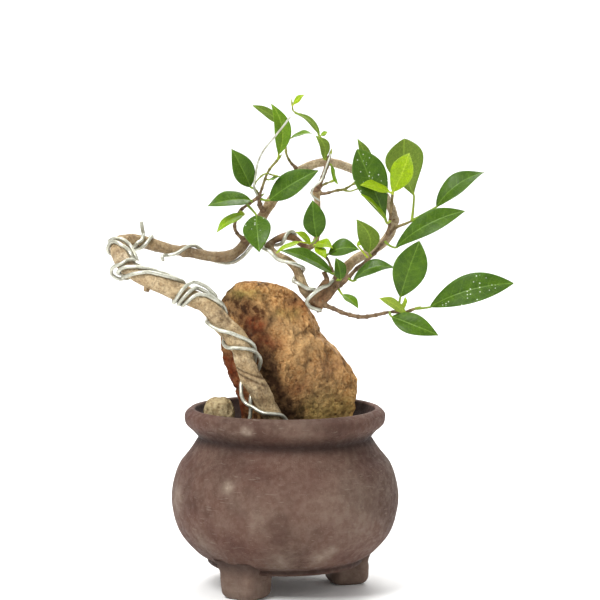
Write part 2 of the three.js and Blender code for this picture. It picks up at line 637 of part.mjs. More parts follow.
// Leaf outline: half width as a share of the whole, from the base (0) to the drawn-out tip (1)
function bladeShare(along, { shoulder, fullness }) {
  const body = Math.pow(Math.sin(Math.PI * Math.pow(along, shoulder)), fullness);
  const tip = 1 - BLADE.taper * Math.pow(along, BLADE.sharpness);
  return Math.max(body * tip, BLADE.narrowest);
}

// Leaf blade: folded along its rib, arched along its length and slightly waved, of even thickness
function bladeSolid([from, to, wide, turn, arch, bow, form = "egg"]) {
  const [base, tip] = [vector(from), vector(to)];
  const along = tip.clone().sub(base);
  const length = along.length();
  along.normalize();
  const across = along.clone().cross(new THREE.Vector3(0, -1, 0)).normalize();
  across.applyAxisAngle(along, radians(turn));
  const face = across.clone().cross(along).normalize();
  const [halves, steps] = (wide >= LARGE_LEAF.width ? LARGE_LEAF : SMALL_LEAF).grid;
  const fold = Math.tan(radians(BLADE.fold));
  const place = (step, column, side) => {
    const share = step / steps;
    const reach = (column / halves) * (wide / 2) * bladeShare(share, FORMS[form]);
    const hump = 4 * share * (1 - share);
    const wave = BLADE.wave * Math.sin(BLADE.waves * share + column) * (column / halves);
    const lift = arch * hump + Math.abs(reach) * fold + wave;
    return base
      .clone()
      .addScaledVector(along, length * share)
      .addScaledVector(across, reach + bow * hump)
      .addScaledVector(face, lift + (side * BLADE.thickness) / 2);
  };
  const rows = [];
  for (let step = 0; step <= steps; step++) {
    const upper = [];
    const lower = [];
    for (let column = -halves; column <= halves; column++) {
      upper.push(place(step, column, 1));
      lower.unshift(place(step, column, -1));
    }
    rows.push([...upper, ...lower]);
  }
  return solidOf(plated(rows));
}

// Rows that each run over a plate and back under it, closed at both ends.
// Both faces of the plate are split into triangles alike.
function plated(rows) {
  const around = rows[0].length;
  const wide = around / 2;
  const index = [];
  const mirror = (column) => around - 1 - column;
  for (let row = 0; row < rows.length - 1; row++) {
    const [low, high] = [row * around, (row + 1) * around];
    for (let column = 0; column < wide - 1; column++) {
      const [a, b] = [column, column + 1];
      index.push(low + a, low + b, high + b, low + a, high + b, high + a);
      const [c, d] = [mirror(a), mirror(b)];
      index.push(low + c, high + d, low + d, low + c, high + c, high + d);
    }
    for (const [a, b] of [[wide - 1, wide], [around - 1, 0]]) {
      index.push(low + a, low + b, high + b, low + a, high + b, high + a);
    }
  }
  const last = (rows.length - 1) * around;
  for (let column = 0; column < wide - 1; column++) {
    const [a, b, c, d] = [column, column + 1, mirror(column + 1), mirror(column)];
    index.push(a, c, b, a, d, c);
    index.push(last + a, last + b, last + c, last + a, last + c, last + d);
  }
  const geometry = new THREE.BufferGeometry();
  const places = rows.flat().flatMap((p) => [p.x, p.y, p.z]);
  geometry.setAttribute("position", new THREE.Float32BufferAttribute(places, 3));
  geometry.setIndex(index);
  return geometry;
}

// Point nearest to a place on the centrelines of a shoot's twigs
function nearestOn(lines, place) {
  const points = lines.flatMap((line) => line.curve.getSpacedPoints(Math.ceil(line.length)));
  return points.reduce((best, p) => (p.distanceTo(place) < best.distanceTo(place) ? p : best));
}

// Stalk from the nearest twig into the root of the blade
function stalkSolid([base, tip], lines) {
  const start = nearestOn(lines, vector(base));
  const into = vector(base).lerp(vector(tip), STALK.into);
  const points = [start, vector(base), into].map((p) => [...p.toArray(), STALK.radius]);
  return solidOf(limb(stemLine(points), STALK.form));
}

function spraySolid({ twigs, leaves, from }, wood) {
  const lines = twigs.map(stemLine);
  const stems = lines.map((line) => solidOf(limb(line, TWIG)));
  const blades = leaves.flatMap((leaf) => [stalkSolid(leaf, lines), bladeSolid(leaf)]);
  const parents = from ? SPRAYS[from].twigs : [];
  const cutters = parents.map((points) => solidOf(limb(stemLine(points), { ...TWIG, extra: GAP })));
  return largest(cutBy(joined([...stems, ...blades]), [wood, ...cutters]));
}

// The bonsai, with its origin at the middle of its lowest and furthest reach
const solids = { trunk: trunkSolid(0) };
const grown = { trunk: trunkSolid(GAP), rock: rockSolid(GAP), sideStone: sideStoneSolid(GAP) };
solids.pot = potSolid();
solids.rock = rockSolid(0);
solids.side_stone = sideStoneSolid(0);
const sunkWires = [WIRES.wire_first, WIRES.wire_second].map((wire) => wireSolid(wire, GAP));
solids.soil = soilSolid([grown.trunk, grown.rock, grown.sideStone, ...sunkWires]);
for (const [name, wire] of Object.entries(WIRES)) {
  solids[name] = largest(wireSolid(wire).subtract(grown.trunk));
}
for (const [name, spray] of Object.entries(SPRAYS)) solids[name] = spraySolid(spray, grown.trunk);

const finishOf = {
  pot: FINISH.clay,
  soil: FINISH.soil,
  rock: FINISH.ochre,
  side_stone: FINISH.sand,
  trunk: FINISH.bark,
};

const bonsai = new THREE.Group();
for (const [name, solid] of Object.entries(solids)) {
  const finish = finishOf[name] ?? (name.startsWith("wire") ? FINISH.wire : FINISH.foliage);
  const mesh = new THREE.Mesh(geometryOf(solid), new THREE.MeshStandardMaterial(finish));
  mesh.name = name;
  bonsai.add(mesh);
}
const reach = new THREE.Box3().setFromObject(bonsai);
const middle = reach.getCenter(new THREE.Vector3());
bonsai.position.set(-middle.x, -middle.y, -reach.min.z);

export default bonsai;
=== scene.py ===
"""Chinese banyan bonsai trained over a stone, in a bellied clay pot on three block feet.

Shapes are worked out in millimetres round the pot's axis and put into the frame in metres.
Relief is written as its height times noise of a size, both in millimetres.
"""
import math

import bpy
import numpy as np
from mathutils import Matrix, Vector


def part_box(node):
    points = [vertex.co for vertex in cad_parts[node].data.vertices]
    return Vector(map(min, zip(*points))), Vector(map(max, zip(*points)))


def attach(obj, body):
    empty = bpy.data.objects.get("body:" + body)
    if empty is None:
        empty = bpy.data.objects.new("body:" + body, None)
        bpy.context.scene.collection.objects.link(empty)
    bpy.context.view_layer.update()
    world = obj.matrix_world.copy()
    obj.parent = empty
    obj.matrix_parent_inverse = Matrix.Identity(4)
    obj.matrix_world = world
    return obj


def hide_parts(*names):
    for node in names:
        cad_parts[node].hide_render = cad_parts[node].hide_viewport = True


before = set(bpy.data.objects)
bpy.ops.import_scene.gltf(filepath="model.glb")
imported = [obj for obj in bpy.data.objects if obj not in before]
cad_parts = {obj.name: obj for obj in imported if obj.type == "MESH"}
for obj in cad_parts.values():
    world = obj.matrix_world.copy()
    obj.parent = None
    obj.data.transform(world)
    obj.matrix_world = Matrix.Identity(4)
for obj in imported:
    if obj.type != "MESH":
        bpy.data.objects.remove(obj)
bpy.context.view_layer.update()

MM = 0.001
pot_low, pot_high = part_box("pot")
POT_AXIS = np.array([(pot_low.x + pot_high.x) / 2, (pot_low.y + pot_high.y) / 2, 0.0])

# Pot: outside and inside as [radius, height] points of smooth curves, and the heights of its marks and of
# its painted shade
POT = {
    "base": [44, 16],
    "ridge": [[44.6, 15.8], [48.3, 16.4], [49.4, 17.4], [49.5, 18.6], [49, 19.6]],
    "belly": [[49, 19.6], [57.5, 25], [68, 38.5], [72.3, 58], [68.5, 77], [60, 89], [54.7, 97]],
    "rim": [[54.7, 97], [58.5, 101.5], [63, 106], [63.4, 112], [60, 115.5]],
    "lip": [[60, 115.5], [59, 115.7], [57.4, 115.2]],
    "throat": [[57.4, 115.2], [55.8, 110], [51.6, 102.5], [49, 97]],
    "inside": [[49, 97], [55, 87], [62.4, 75.5], [66.7, 58], [62.5, 41], [54, 33], [43, 28]],
    "drain": 7,
    "floor": 26.5,
    "widest": 72.46,
    "sides": 288,
    "neck": 97.5,
    "worn": 99.5,
    "foot_joint": 19,
    "lip_from": 112,
    "shaded_below": 114,
}
# Dusty places on the pot, the broad ones just right of the front a painted sheen: [turn from the front,
# height, size, strength]
SHEEN_AND_DUST_SPOTS = [
    [-30, 74, 2.8, 0.9], [-22, 63, 6, 0.2], [-12, 60, 6, 0.22], [-32, 52, 5, 0.2], [-14, 50, 6, 0.25],
    [16, 64, 18, 0.14], [34, 66, 14, 0.2], [40, 48, 12, 0.25], [20, 30, 5, 0.6], [26, 34, 3, 0.7],
    [-2, 27, 7, 0.4], [-48, 36, 6, 0.35], [-70, 62, 8, 0.5], [-21, 108, 3, 0.8], [10, 109, 10, 0.2],
    [150, 62, 16, 0.5], [200, 44, 12, 0.5], [240, 70, 14, 0.4], [100, 54, 14, 0.45],
    [-100, 48, 12, 0.45],
]
# Dust and sheen spots: the radius that their turns are measured at, how squat they are, and how far they
# spread
SHEEN_AND_DUST_FORM = {"radius": 70, "squat": 1.2, "spread": 1.3}
# Block feet: turns from the front, reach from the axis, width, depth and height
FOOT = {"turns": [-36, 108, 216], "reach": 41, "wide": 30, "deep": 27, "top": 24.5, "full": 26,
        "square": 5, "sides": 72}

SOIL = {"level": 100.5, "radius": 50, "heap": 2.5, "gap": 0.35, "sides": 160}
GRAINS = {"count": 620, "reach": 49, "least": 0.7, "most": 2.1}

# Rock outline by height: [height, left, right, front, back]
ROCK = [
    [80, -8, 22, 2, 18], [84, -14, 28, -4, 24], [95, -24, 40, -9, 33], [105, -28, 48, -12, 37],
    [113, -30, 52.8, -14, 39], [123, -32, 48.5, -14, 38], [134, -36, 45.5, -14, 37],
    [142, -38, 41, -14.5, 36], [150, -40, 34, -14.5, 35], [160, -42, 24.5, -14.5, 34],
    [168, -43.5, 21, -14.5, 32], [175, -44.8, 18, -14.5, 30], [181, -44.8, 14, -13.5, 28],
    [186, -43.5, 8, -12, 26], [190, -39.5, -1, -9, 22], [192.8, -35.5, -8, -6, 18],
    [195, -31.5, -12, -2, 14], [196, -26, -17, 3, 9],
]
# Rock's grid, how square its outline is, and its size beside the outline
ROCK_FORM = {"rows": 200, "sides": 260, "square": 2.7, "size": 0.985}
# Flat breaks: how many, how deep, the share of the rock that each leaves, and the least turn to the front
ROCK_CUTS = {"count": 44, "deep": 0.9, "leaves": 0.94, "facing": 0.45}
# Crown: the height from which the relief turns upwards, over how much height, and how far at most
ROCK_CROWN = {"from": 178, "over": 14, "most": 1.4}
# Flank in the trunk's painted shadow: a pressed-in band that leans to the left as it rises and fades out
# below its top
ROCK_SHADOWED_FLANK = {"x": -1, "level": 120, "lean": 0.5, "wide": 8, "top": 172, "fade": 20}
# Stains on the rock, each the sum of soft spots [x, z, width, height]; the sides and back share them
ROCK_STAINS = {
    "dark": [[-30, 179, 12, 9], [-20, 165, 10, 9], [-38, 184, 7, 6], [-10, 173, 9, 5], [12, 111, 20, 6],
             [-33, 126, 6, 14], [-36, 142, 4, 9], [-26, 109, 10, 9], [-2, 106, 7, 12], [-10, 150, 5, 14],
             [6, 186, 7, 3], [-34, 184, 9, 8], [-25, 175, 11, 8]],
    "rust": [[-36, 140, 7, 16], [-30, 120, 7, 12], [-20, 168, 9, 7], [9, 180, 8, 5], [-12, 158, 8, 6],
             [12, 128, 9, 7], [30, 140, 8, 6]],
    "lichen": [[34, 116, 14, 12], [-26, 189, 13, 4], [4, 178, 8, 4], [44, 108, 9, 8], [22, 112, 9, 10]],
    "pale": [[16, 152, 14, 14], [0, 168, 10, 8], [30, 134, 9, 12], [20, 124, 12, 9]],
}
SIDE_STONE = {"at": [-41, -15, 112], "radii": [9.8, 8.2, 12.5], "size": 0.97}

# Trunk centreline from the roots up, as [x, y, z, radius]
TRUNK = [
    [8, -20, 80, 7.5], [4, -20.5, 89, 7], [-0.5, -21, 97.5, 6], [-4, -21.5, 105, 5.5],
    [-7, -22, 112.5, 5.4], [-11, -22.5, 118.5, 5.6], [-13.5, -23, 124, 6.1],
    [-17.5, -23, 131.5, 6.6], [-20.5, -23, 136.5, 6.8], [-23, -23, 142, 6.5], [-25, -23, 148, 6.2],
    [-27, -22.5, 156, 6.7], [-32, -22.5, 163.5, 6.9], [-37, -22, 168.5, 6.5], [-40, -22, 172, 6.2],
    [-43.5, -22, 177, 5.9], [-50, -22, 183, 5.3], [-58.5, -22, 187, 5.5], [-68, -22, 191, 5.9],
    [-75.5, -22, 194.5, 5.7], [-83, -21.5, 197.5, 5.4], [-90, -20, 200.5, 5.1],
    [-94.5, -18, 202.5, 4.9], [-99.5, -14, 206, 5.1], [-102.5, -9, 210.5, 5.4], [-105, -1, 216, 5],
    [-104.5, 6, 219.5, 4.4], [-101, 11, 220.5, 4], [-97, 13.5, 220.5, 3.9], [-89, 15, 219, 4],
    [-82, 15.5, 217, 4], [-75, 16, 215, 3.6], [-66.5, 16, 213.5, 3.1], [-55.5, 17, 211.5, 3.4],
    [-48.5, 18, 210, 3.3], [-42, 19, 209.5, 3.4], [-35, 20, 210.5, 3.6], [-29.5, 22, 214, 3.2],
    [-25, 23.5, 219.5, 3.2], [-18.5, 24, 229, 3.4], [-10.5, 26, 242, 3.6], [-1, 28, 255, 3.3],
    [11.5, 28, 265.5, 2.9], [25.5, 28, 270, 2.7], [39.5, 27, 267, 2.7], [53, 25, 260, 2.7],
    [64.5, 22, 247, 2.7], [69.5, 19, 234, 2.8], [65, 16, 221.5, 3], [54.5, 13, 213.5, 3.1],
    [44, 9, 208, 3.2], [36, 4, 200, 3.4], [29, -1, 190.5, 3.8], [21, -4, 182.5, 4.5],
]
# Leader that turns back up from the trunk's lowest bend
LEADER = [
    [21, -4, 182.5, 4.2], [16, -6, 186.5, 3.5], [12, -7, 191.5, 3.2], [9.5, -7, 198, 3.1],
    [6.5, -7, 204.5, 2.9], [2.5, -6, 208.5, 2.6], [-3, -5, 211, 2.5], [-8, -2.5, 214.5, 2.4],
    [-10, 0.5, 217.5, 2.3], [-7.5, 3, 220.5, 2.3], [-3, 5, 222.5, 2.3], [1, 6, 223.5, 2.2],
    [6, 7, 222, 2.1], [11, 8, 218, 2], [15, 9, 216, 1.9], [18.5, 10, 218, 1.8],
    [20.5, 10, 224.5, 1.8], [21, 9, 232, 1.7], [21, 8, 240, 1.7], [20.5, 7, 246, 1.9],
    [19.5, 6, 252, 2.7],
]
# Roots and cut stubs
OFFSHOOTS = [
    [[-1, -21, 99, 5.5], [13, -22, 94, 4], [28, -16, 86, 2]],
    [[-1, -21, 99, 5.5], [-15, -23, 93, 4], [-27, -20, 85, 2]],
    [[1, -21, 96, 5], [5, -31, 90, 3.5], [8, -36, 80, 2]],
    [[-84.5, -21.5, 197, 3], [-86, -22.5, 190.5, 1.5]],
    [[21, -4, 183, 3], [21.5, -5, 176, 1.5]],
    [[20.5, -4, 185, 3], [22, -5.5, 190.5, 2.3], [24.5, -7, 194.5, 1.7], [26.5, -8, 196.5, 1.6],
     [24.5, -8, 202, 1.2]],
]
# Knots as [x, y, z, radius]
KNOTS = [
    [21, -4.5, 182.5, 4.9], [19.5, 6, 251.5, 3.4], [-10, 0.5, 217.5, 2.9], [69.5, 18, 233, 3.3],
    [-64, 15.5, 213.5, 4.2], [-98, 12.5, 220, 4.6],
]
# How softly a knot runs into the wood, and the slow swelling of the bark
KNOT_BLEND = 0.5
BARK = {"ridge": 0.06, "ridges": 2, "rise": 9, "run": 14}
# Old wire marks on the trunk's front: [[x, z], fall to the right, half width]
SCARS = [[[-21.4, 139.6], 0.33, 0.55], [[-17.6, 134.5], 0.38, 0.7]]
# How brown the bark is along the wood, from the roots up: 0 pale, 0.2 tan, 1 red-brown
TRUNK_BROWN = [0.3, 0.2, 0.18, 0.18, 0.16, 0.08, 0.25, 0.5, 0.48, 0.12, 0.08, 0, 0, 0.1, 1]
LEADER_BROWN = [1, 0.3, 0.15, 0.5, 0.8, 0.9, 0.35, 0.2, 0.2]

# Training wires. A wound point is [distance along the wood, turn round it in degrees, and how far
# it stands off the bark]. A free point, before or after, is [x, y, z].
WIRE_RADIUS = 1.2
THIN_WIRE_RADIUS = 0.65
WIRE_REST = 0.3
WOUND_SAMPLES = 5
WOUND_TENSION = 0.4
WIRES = {
    "wire_first": {
        "on": "trunk",
        "wound": [
            [14, 150], [24, 105], [33.5, 60], [37.3, 20], [41.2, -18], [46, -66, 0.7],
            [50.5, -90, 3], [54.5, -97, 3.8], [59, -103, 2.6], [63, -120, 1], [66.5, -160],
            [70.5, -210], [75, -240], [78.5, -262], [81.5, -283], [84.3, -305], [87, -321],
            [90.5, -339], [95.5, -360], [100.5, -381], [105, -402], [109, -440], [112, -510],
            [115, -580], [118.5, -622, 1.5], [123, -630, 2.9], [128.5, -630, 3.2],
            [131.5, -642, 2.7], [134, -668, 1.3], [136, -705, 0.5], [137, -756], [138, -830],
            [140.5, -900], [142.5, -945], [145, -968], [150, -975], [158.5, -980], [167, -982],
            [172, -984], [174, -1030], [175, -1075], [177.5, -1110, 0.8], [178.5, -1140, 2.2],
            [178.5, -1168, 4], [176.5, -1190, 3.6], [176, -1220, 3], [176.5, -1260, 2.8],
            [178, -1290, 2.6], [181, -1310, 2.2], [186, -1318, 2], [191, -1330, 1.8],
            [193.5, -1352, 0.8], [195.5, -1377], [196.5, -1405], [197.5, -1440], [199.5, -1480],
            [203, -1530], [208, -1560], [212, -1578], [217, -1612], [220.5, -1660], [223, -1710],
            [223.5, -1780], [226, -1850], [229, -1900],
        ],
    },
    "wire_second": {
        "on": "trunk",
        "before": [
            [-24, -21, 96], [-23, -20, 106], [-21.5, -19.5, 113.5],
        ],
        "wound": [
            [52, -125, 1.2], [56, -150, 0.5], [60, -175], [64, -205], [68, -235, 0.5],
            [71.5, -259, 1.6], [74.5, -268, 2], [77, -275, 1.5], [79, -291, 0.9], [81, -317, 0.5],
            [83.3, -352, 0.2], [87, -391], [91, -440], [95, -478], [99, -525], [104, -565],
            [109, -595], [113.5, -622], [117.5, -638], [121.5, -634], [127, -630], [131, -687],
            [133, -729], [134.2, -765], [134.8, -830], [137, -900], [140, -950], [142, -978],
            [144.5, -990], [150, -996], [157.5, -1005], [166, -1038], [172, -1077], [176, -1152],
            [177, -1200], [177.5, -1255], [178.5, -1300], [180, -1330], [184, -1345], [188, -1380],
            [191.5, -1400], [194, -1430], [193.5, -1480], [194.5, -1520], [198, -1560],
            [203, -1590], [208.5, -1612], [212.5, -1634], [215.5, -1668], [218, -1690],
            [218.5, -1755],
        ],
        "after": [
            [-90.5, 12.5, 226.5], [-91.5, 12, 232.5],
        ],
    },
    "wire_third": {
        "on": "trunk",
        "wound": [
            [111.5, -640], [114, -652], [117, -659], [120.5, -667], [125.5, -686], [128.5, -717],
            [131, -765], [132, -815], [133.5, -900], [136.5, -955], [140.5, -1000], [147.5, -1019],
            [158, -1038], [166, -1086], [172.5, -1155], [172.3, -1195], [172, -1235],
        ],
    },
    "wire_rear": {
        "on": "trunk",
        "before": [
            [-77.5, 10, 207.5], [-78, 9.5, 210.5],
        ],
        "wound": [
            [236.5, 175], [241.5, 150], [246, 100], [249.5, 55], [254, 10], [261, -50], [270, -105],
            [281, -140], [291, -165],
        ],
    },
    "wire_leader": {
        "on": "leader",
        "wound": [
            [8, 80], [12, 25], [15, -3], [18.5, -48], [21, -130], [23, -220], [26, -309],
            [29.5, -357], [34, -385], [39, -395], [45, -378], [50, -420], [55, -500], [60, -590],
            [64, -660], [67.5, -735], [71, -800],
        ],
    },
    "wire_bend": {
        "before": [
            [30.4, -4.5, 196.5], [26.6, -8.2, 193.4], [22.8, -10, 191.8], [16.7, -12.5, 187.5],
            [13.7, -11.5, 183.2], [15.5, -10.8, 180.3], [19.2, -10.3, 178.6], [22.8, -9.8, 177.6],
        ],
    },
    "wire_free": {
        "thin": True,
        "before": [
            [-17.5, 11.4, 249], [-19.5, 7, 254], [-18.5, 3, 262], [-17, 0, 270],
            [-13.5, -2.5, 277.5], [-7.5, -4, 285], [-1, -5, 293], [3.5, -5.5, 299],
        ],
    },
    "wire_crown": {
        "thin": True,
        "before": [
            [22, 2.5, 246], [17, 0.8, 250], [18, 0.3, 254.5], [22.5, 1.2, 258.5], [25, 2, 264.5],
            [27, 2.4, 270], [29, 3, 275.5],
        ],
    },
}

# Leaf tones: how young the leaf is, and whether its underside faces the front
TONES = {"dark": (0.0, False), "mid": (0.32, False), "fresh": (0.68, False), "young": (1.0, False),
         "olive": (0.3, True), "pale": (0.75, True), "flecked": (0.0, False)}
# Leafy shoots. A twig is a list of [x, y, z, radius]. A leaf is [base of its blade, tip, width,
# turn away from the front, arch, bow to its side, tone, and its form where it isn't egg-shaped].
SPRAYS = {
    "spray_crown": {
        "twigs": [
            [[19.5, 6, 251.5, 2.2], [23, 5, 259, 1.7], [26.5, 5, 268, 1.5], [28.5, 5, 275, 1.1]],
            [[19.5, 6, 252.5, 1.6], [24, 5, 256, 1], [29, 5, 258, 0.8]],
            [[26.8, 5, 270, 0.9], [24.7, 8, 279.8, 0.8], [21.8, 9.5, 286.7, 0.8],
             [18.1, 12, 294, 0.7], [13, 13, 299.4, 0.7], [7.9, 13, 301.1, 0.6],
             [5.1, 13, 302.8, 0.6], [4.6, 13, 306, 0.6]],
        ],
        "leaves": [
            [[24.5, 4, 272.5], [19.5, 2, 287], 8, 30, 2, 2, "olive"],
            [[21.8, 8.5, 286.8], [6, 12, 301.1], 5.5, 45, 1.5, 2.5, "olive"],
            [[5.4, 12.5, 306.6], [12.4, 10, 312.9], 4.2, -30, 1, 0, "young"],
            [[22.5, 6, 287], [27, 6, 289.5], 3, -20, 0, 0, "fresh"],
            [[29.5, 4.5, 268.5], [33, -2, 256.5], 5.5, 60, 0, 0, "mid"],
        ],
    },
    "spray_upper_left": {
        "twigs": [
            [[8, 28, 264, 2.2], [6.5, 26, 266.5, 1.3], [3, 24, 270.5, 1], [1, 23, 274.5, 0.9],
             [0.5, 22.5, 278.5, 0.8], [1, 22, 284.5, 0.7]],
        ],
        "leaves": [
            [[-0.7, 22, 294], [-20.6, 20, 306.2], 7.7, 35, 1, -0.1, "olive"],
            [[4, 20, 285.5], [17, 16, 288.5], 7, -65, 1, 0, "mid"],
        ],
    },
    "spray_left": {
        "twigs": [
            [[-13.5, 25, 238, 2.2], [-16, 19, 242.5, 1.8], [-16.5, 14.5, 247.5, 1.4],
             [-15, 11, 252.5, 1.1], [-13, 9, 258.5, 1], [-10.5, 8, 264.5, 0.9],
             [-4.5, 8, 272, 0.9]],
            [[-24.5, 21, 219, 2], [-30.5, 17, 224.5, 1.4], [-32, 13, 230, 1.2],
             [-29, 13, 238.5, 1.2], [-24, 14, 243, 1.2], [-16.5, 14.5, 248, 1.4]],
            [[-16.5, 13.5, 249.5, 0.9], [-19.5, 9, 255, 0.7], [-16.5, 7, 260, 0.6],
             [-12, 7, 263, 0.6], [-7.5, 8, 262, 0.6]],
        ],
        "leaves": [
            [[-4, 7, 275], [-8.5, 2, 307], 11.5, 20, 2, 4, "mid"],
            [[-22, 12, 254.5], [-33.5, 4, 278.5], 15.2, 25, 2, -0.6, "dark"],
            [[-22, 11, 246], [-48.5, -2, 243], 14, 45, 4, -1.3, "dark"],
            [[-26, 10, 237], [-43, 2, 226.5], 8, 40, 2, 0.5, "fresh"],
            [[-18, 6, 236.5], [-16, -9, 214.5], 18, 5, 2, 0, "flecked"],
            [[-10, 14, 246], [21, 8, 265], 16.5, -25, 3, 0, "dark"],
            [[-10, 10, 259], [-3, 8, 261.5], 4, -60, 0, 0, "mid"],
        ],
    },
    "spray_inner": {
        "twigs": [
            [[19.5, 6, 251.5, 1.8], [24, 5, 250.5, 1.2], [33, 5, 252.5, 1], [37, 6, 253, 0.9],
             [44.5, 9, 257, 0.8], [52, 13, 260, 0.8]],
            [[36, 6, 253, 0.8], [41, 5, 252, 0.6], [46, 6, 253.5, 0.6]],
        ],
        "leaves": [
            [[54, 13, 262], [46, 12, 285], 8.5, 30, 2, 0, "olive"],
        ],
    },
    "spray_centre": {
        "twigs": [
            [[32, -3, 191, 1.4], [33.5, -8.5, 194.5, 1.2], [29.5, -9, 203.5, 1.1],
             [26.5, -7, 210, 1], [19.5, -4, 216.5, 0.9], [16.5, -3, 219, 1]],
        ],
        "leaves": [
            [[16, -3, 219.5], [7, -8, 227], 6, 45, 1, 0, "young"],
            [[9.5, -6, 220.5], [-5.5, -14, 214], 5, 55, 1, 0, "young"],
            [[19, -3, 218.5], [30, -12, 217], 9, -50, 2, 0, "young"],
            [[19.5, -6, 217.5], [25.5, -14, 210.5], 7, -30, 1, 0, "young"],
            [[20, -2, 223], [17.5, -4, 246.5], 15, 15, 2, -1.3, "dark"],
            [[29.5, -12, 201], [-2.5, -20, 216], 14, 58, 3, 0, "dark"],
            [[27.5, -6, 213], [46.5, -10, 216], 12.5, -35, 3, -1, "dark"],
            [[35, -13, 197.5], [32, -16, 211], 9.5, 30, 1, 0, "dark"],
        ],
    },
    "spray_right": {
        "twigs": [
            [[26, -2, 187.5, 2.2], [35.5, -3.5, 193.5, 1.6], [44, -1, 202, 1.5],
             [52.5, 2, 209, 1.4], [58.5, 4, 215, 1.3], [64, 6, 222.5, 1.2], [69.5, 8, 228.5, 1.1],
             [76, 9, 231, 1], [80.5, 10, 233, 0.9]],
            [[64.5, 6, 223, 1.2], [66, 5, 230.5, 1.2], [67, 4, 239, 1.1], [68, 3, 250.5, 1]],
        ],
        "leaves": [
            [[36, -8, 187.5], [46, -14, 179.5], 8, -50, 1, 0, "mid"],
            [[64, 6, 232.5], [45.5, 2, 278.5], 23, 20, 3, -0.8, "flecked", "spoon"],
            [[66, 1, 251.5], [46.5, -4, 256.5], 11, 55, 1, 0, "young"],
            [[68, 2, 251.5], [78, -2, 276], 15, -20, 2, 1.5, "young", "blunt"],
            [[64.5, 0, 232.5], [48, -5, 250.5], 9, 75, 1, 0, "fresh"],
            [[82, 14, 248.5], [76, 20, 285], 25, 0, -3, -2.4, "olive", "spoon"],
            [[96, 8, 242], [126, 6, 264], 15, -38, 4, -1.5, "dark"],
            [[70, 2, 216.5], [113, -6, 240], 15, -28, 4, -2, "dark", "blunt"],
            [[43, -7, 196], [69.5, -12, 204.5], 12, -50, 3, -3, "dark"],
            [[53, 0, 213.5], [45, -4, 234.5], 14.5, -25, 2, 5.5, "olive"],
            [[45.5, 0, 218.5], [50, -3, 221.5], 4, -40, 0, 0, "young"],
        ],
    },
    "spray_low_right": {
        "twigs": [
            [[22, -5, 182, 2.2], [28.5, -8, 179.5, 1.6], [37, -9, 176, 1.5], [48, -9, 173.5, 1.6],
             [59, -8, 175, 1.3], [67, -7, 176.5, 1.2], [76, -6, 176.5, 1.1], [82, -6, 178.5, 1]],
        ],
        "leaves": [
            [[72.5, -9, 186], [84, -14, 221.5], 21.5, 8, 3, -1.2, "dark", "blunt"],
            [[91, -7, 179.5], [142.5, -18, 195.5], 20, -28, 5, -1.5, "flecked", "blunt"],
            [[67, -12, 174], [95.5, -24, 163.5], 13.8, -20, 2.5, 0.6, "dark"],
            [[75.5, -11, 176.5], [59, -16, 186], 8.5, 45, 1, 0, "pale"],
            [[73.5, -8.4, 178.2], [75.8, -10.6, 186], 4.3, 38, 0, 0, "young"],
        ],
    },
}
BLADE = {"thick": 0.5, "fold": 14, "wave": 0.35, "waves": 9, "taper": 0.35, "sharpness": 8,
         "narrowest": 0.03, "columns": 17, "crowding": 1.25, "ripple": 0.02}
# Rib and veins of a leaf: half width of the rib, and their grooves above and keels below
RIBS = {"rib": 0.55, "rib_groove": 0.16, "rib_keel": 0.42, "vein_groove": 0.05, "vein_keel": 0.06}
# Leaf forms: how far its widest part lies towards the tip, and how pointed its ends are
FORMS = {"egg": (0.9, 0.8), "blunt": (1.15, 0.7), "spoon": (1.7, 0.64)}
# Side veins: how many, how far they slant towards the tip, and how much they bend
VEINS = {"count": 9, "slant": 0.3, "bend": 1.15}

# Camera in millimetres round the pot's axis, its fall below the level, its lens and its sensor
CAMERA = {"at": [9.5, -1350, 296.8], "fall": 4.8, "lens": 128.6, "sensor": 36, "clip_end": 50}
# Soft lights: place and aim in millimetres, width in metres, power in watts
LIGHTS = {
    "key": [[-700, -900, 1250], [0, 0, 170], 0.65, 27],
    "fill": [[1000, -900, 650], [0, 0, 150], 1.2, 4.5],
    "wall": [[0, 900, 2600], [0, 2300, 1000], 2.0, 55],
    "back": [[300, 900, 1300], [0, 0, 200], 1.0, 11],
}
WORLD_LIGHT = 0.42
# Backdrop: how far it reaches, where its floor ends, and the radius of its bend up the wall
SWEEP = {"reach": 6000, "floor": 1500, "bend": 700}


def placed(points):
    """Millimetres round the pot's axis to metres in the frame."""
    return np.asarray(points, float) * MM + POT_AXIS


def unit(vectors):
    """Vectors divided by their own length."""
    return vectors / np.linalg.norm(vectors, axis=-1, keepdims=True)


def points_of(x, y, z):
    """Points from their three coordinates, each an array or one value."""
    return np.stack(np.broadcast_arrays(x, y, z), axis=-1)


def turns(count):
    """Evenly spaced turns once round, as one row."""
    return np.linspace(0, 2 * math.pi, count, endpoint=False)[None, :]


def spun(points, turn):
    """Points turned about the upright axis: x to x cos - y sin, y to x sin + y cos."""
    c, s = math.cos(turn), math.sin(turn)
    return points @ np.array([[c, s, 0], [-s, c, 0], [0, 0, 1]])


def ball(rows, sides, gap, twist=0):
    """Unit sphere (sin p cos t, sin p sin t, cos p), with p from gap to a half turn less gap."""
    polar = np.linspace(gap, math.pi - gap, rows)[:, None]
    turn = turns(sides) + twist * polar
    return points_of(np.sin(polar) * np.cos(turn), np.sin(polar) * np.sin(turn), np.cos(polar))


def rounded_square(turn, power):
    """Reach r of a rounded square at a turn t, where |r cos t|^power + |r sin t|^power = 1."""
    return (np.abs(np.cos(turn)) ** power + np.abs(np.sin(turn)) ** power) ** (-1 / power)


def soft_spot(away):
    """Soft spot: 1 in the middle and falling as e^(-away squared)."""
    return np.exp(-away**2)


# Noise
LATTICE_SIDE = 32
LATTICE = np.random.default_rng(11).uniform(-1, 1, (LATTICE_SIDE,) * 3)


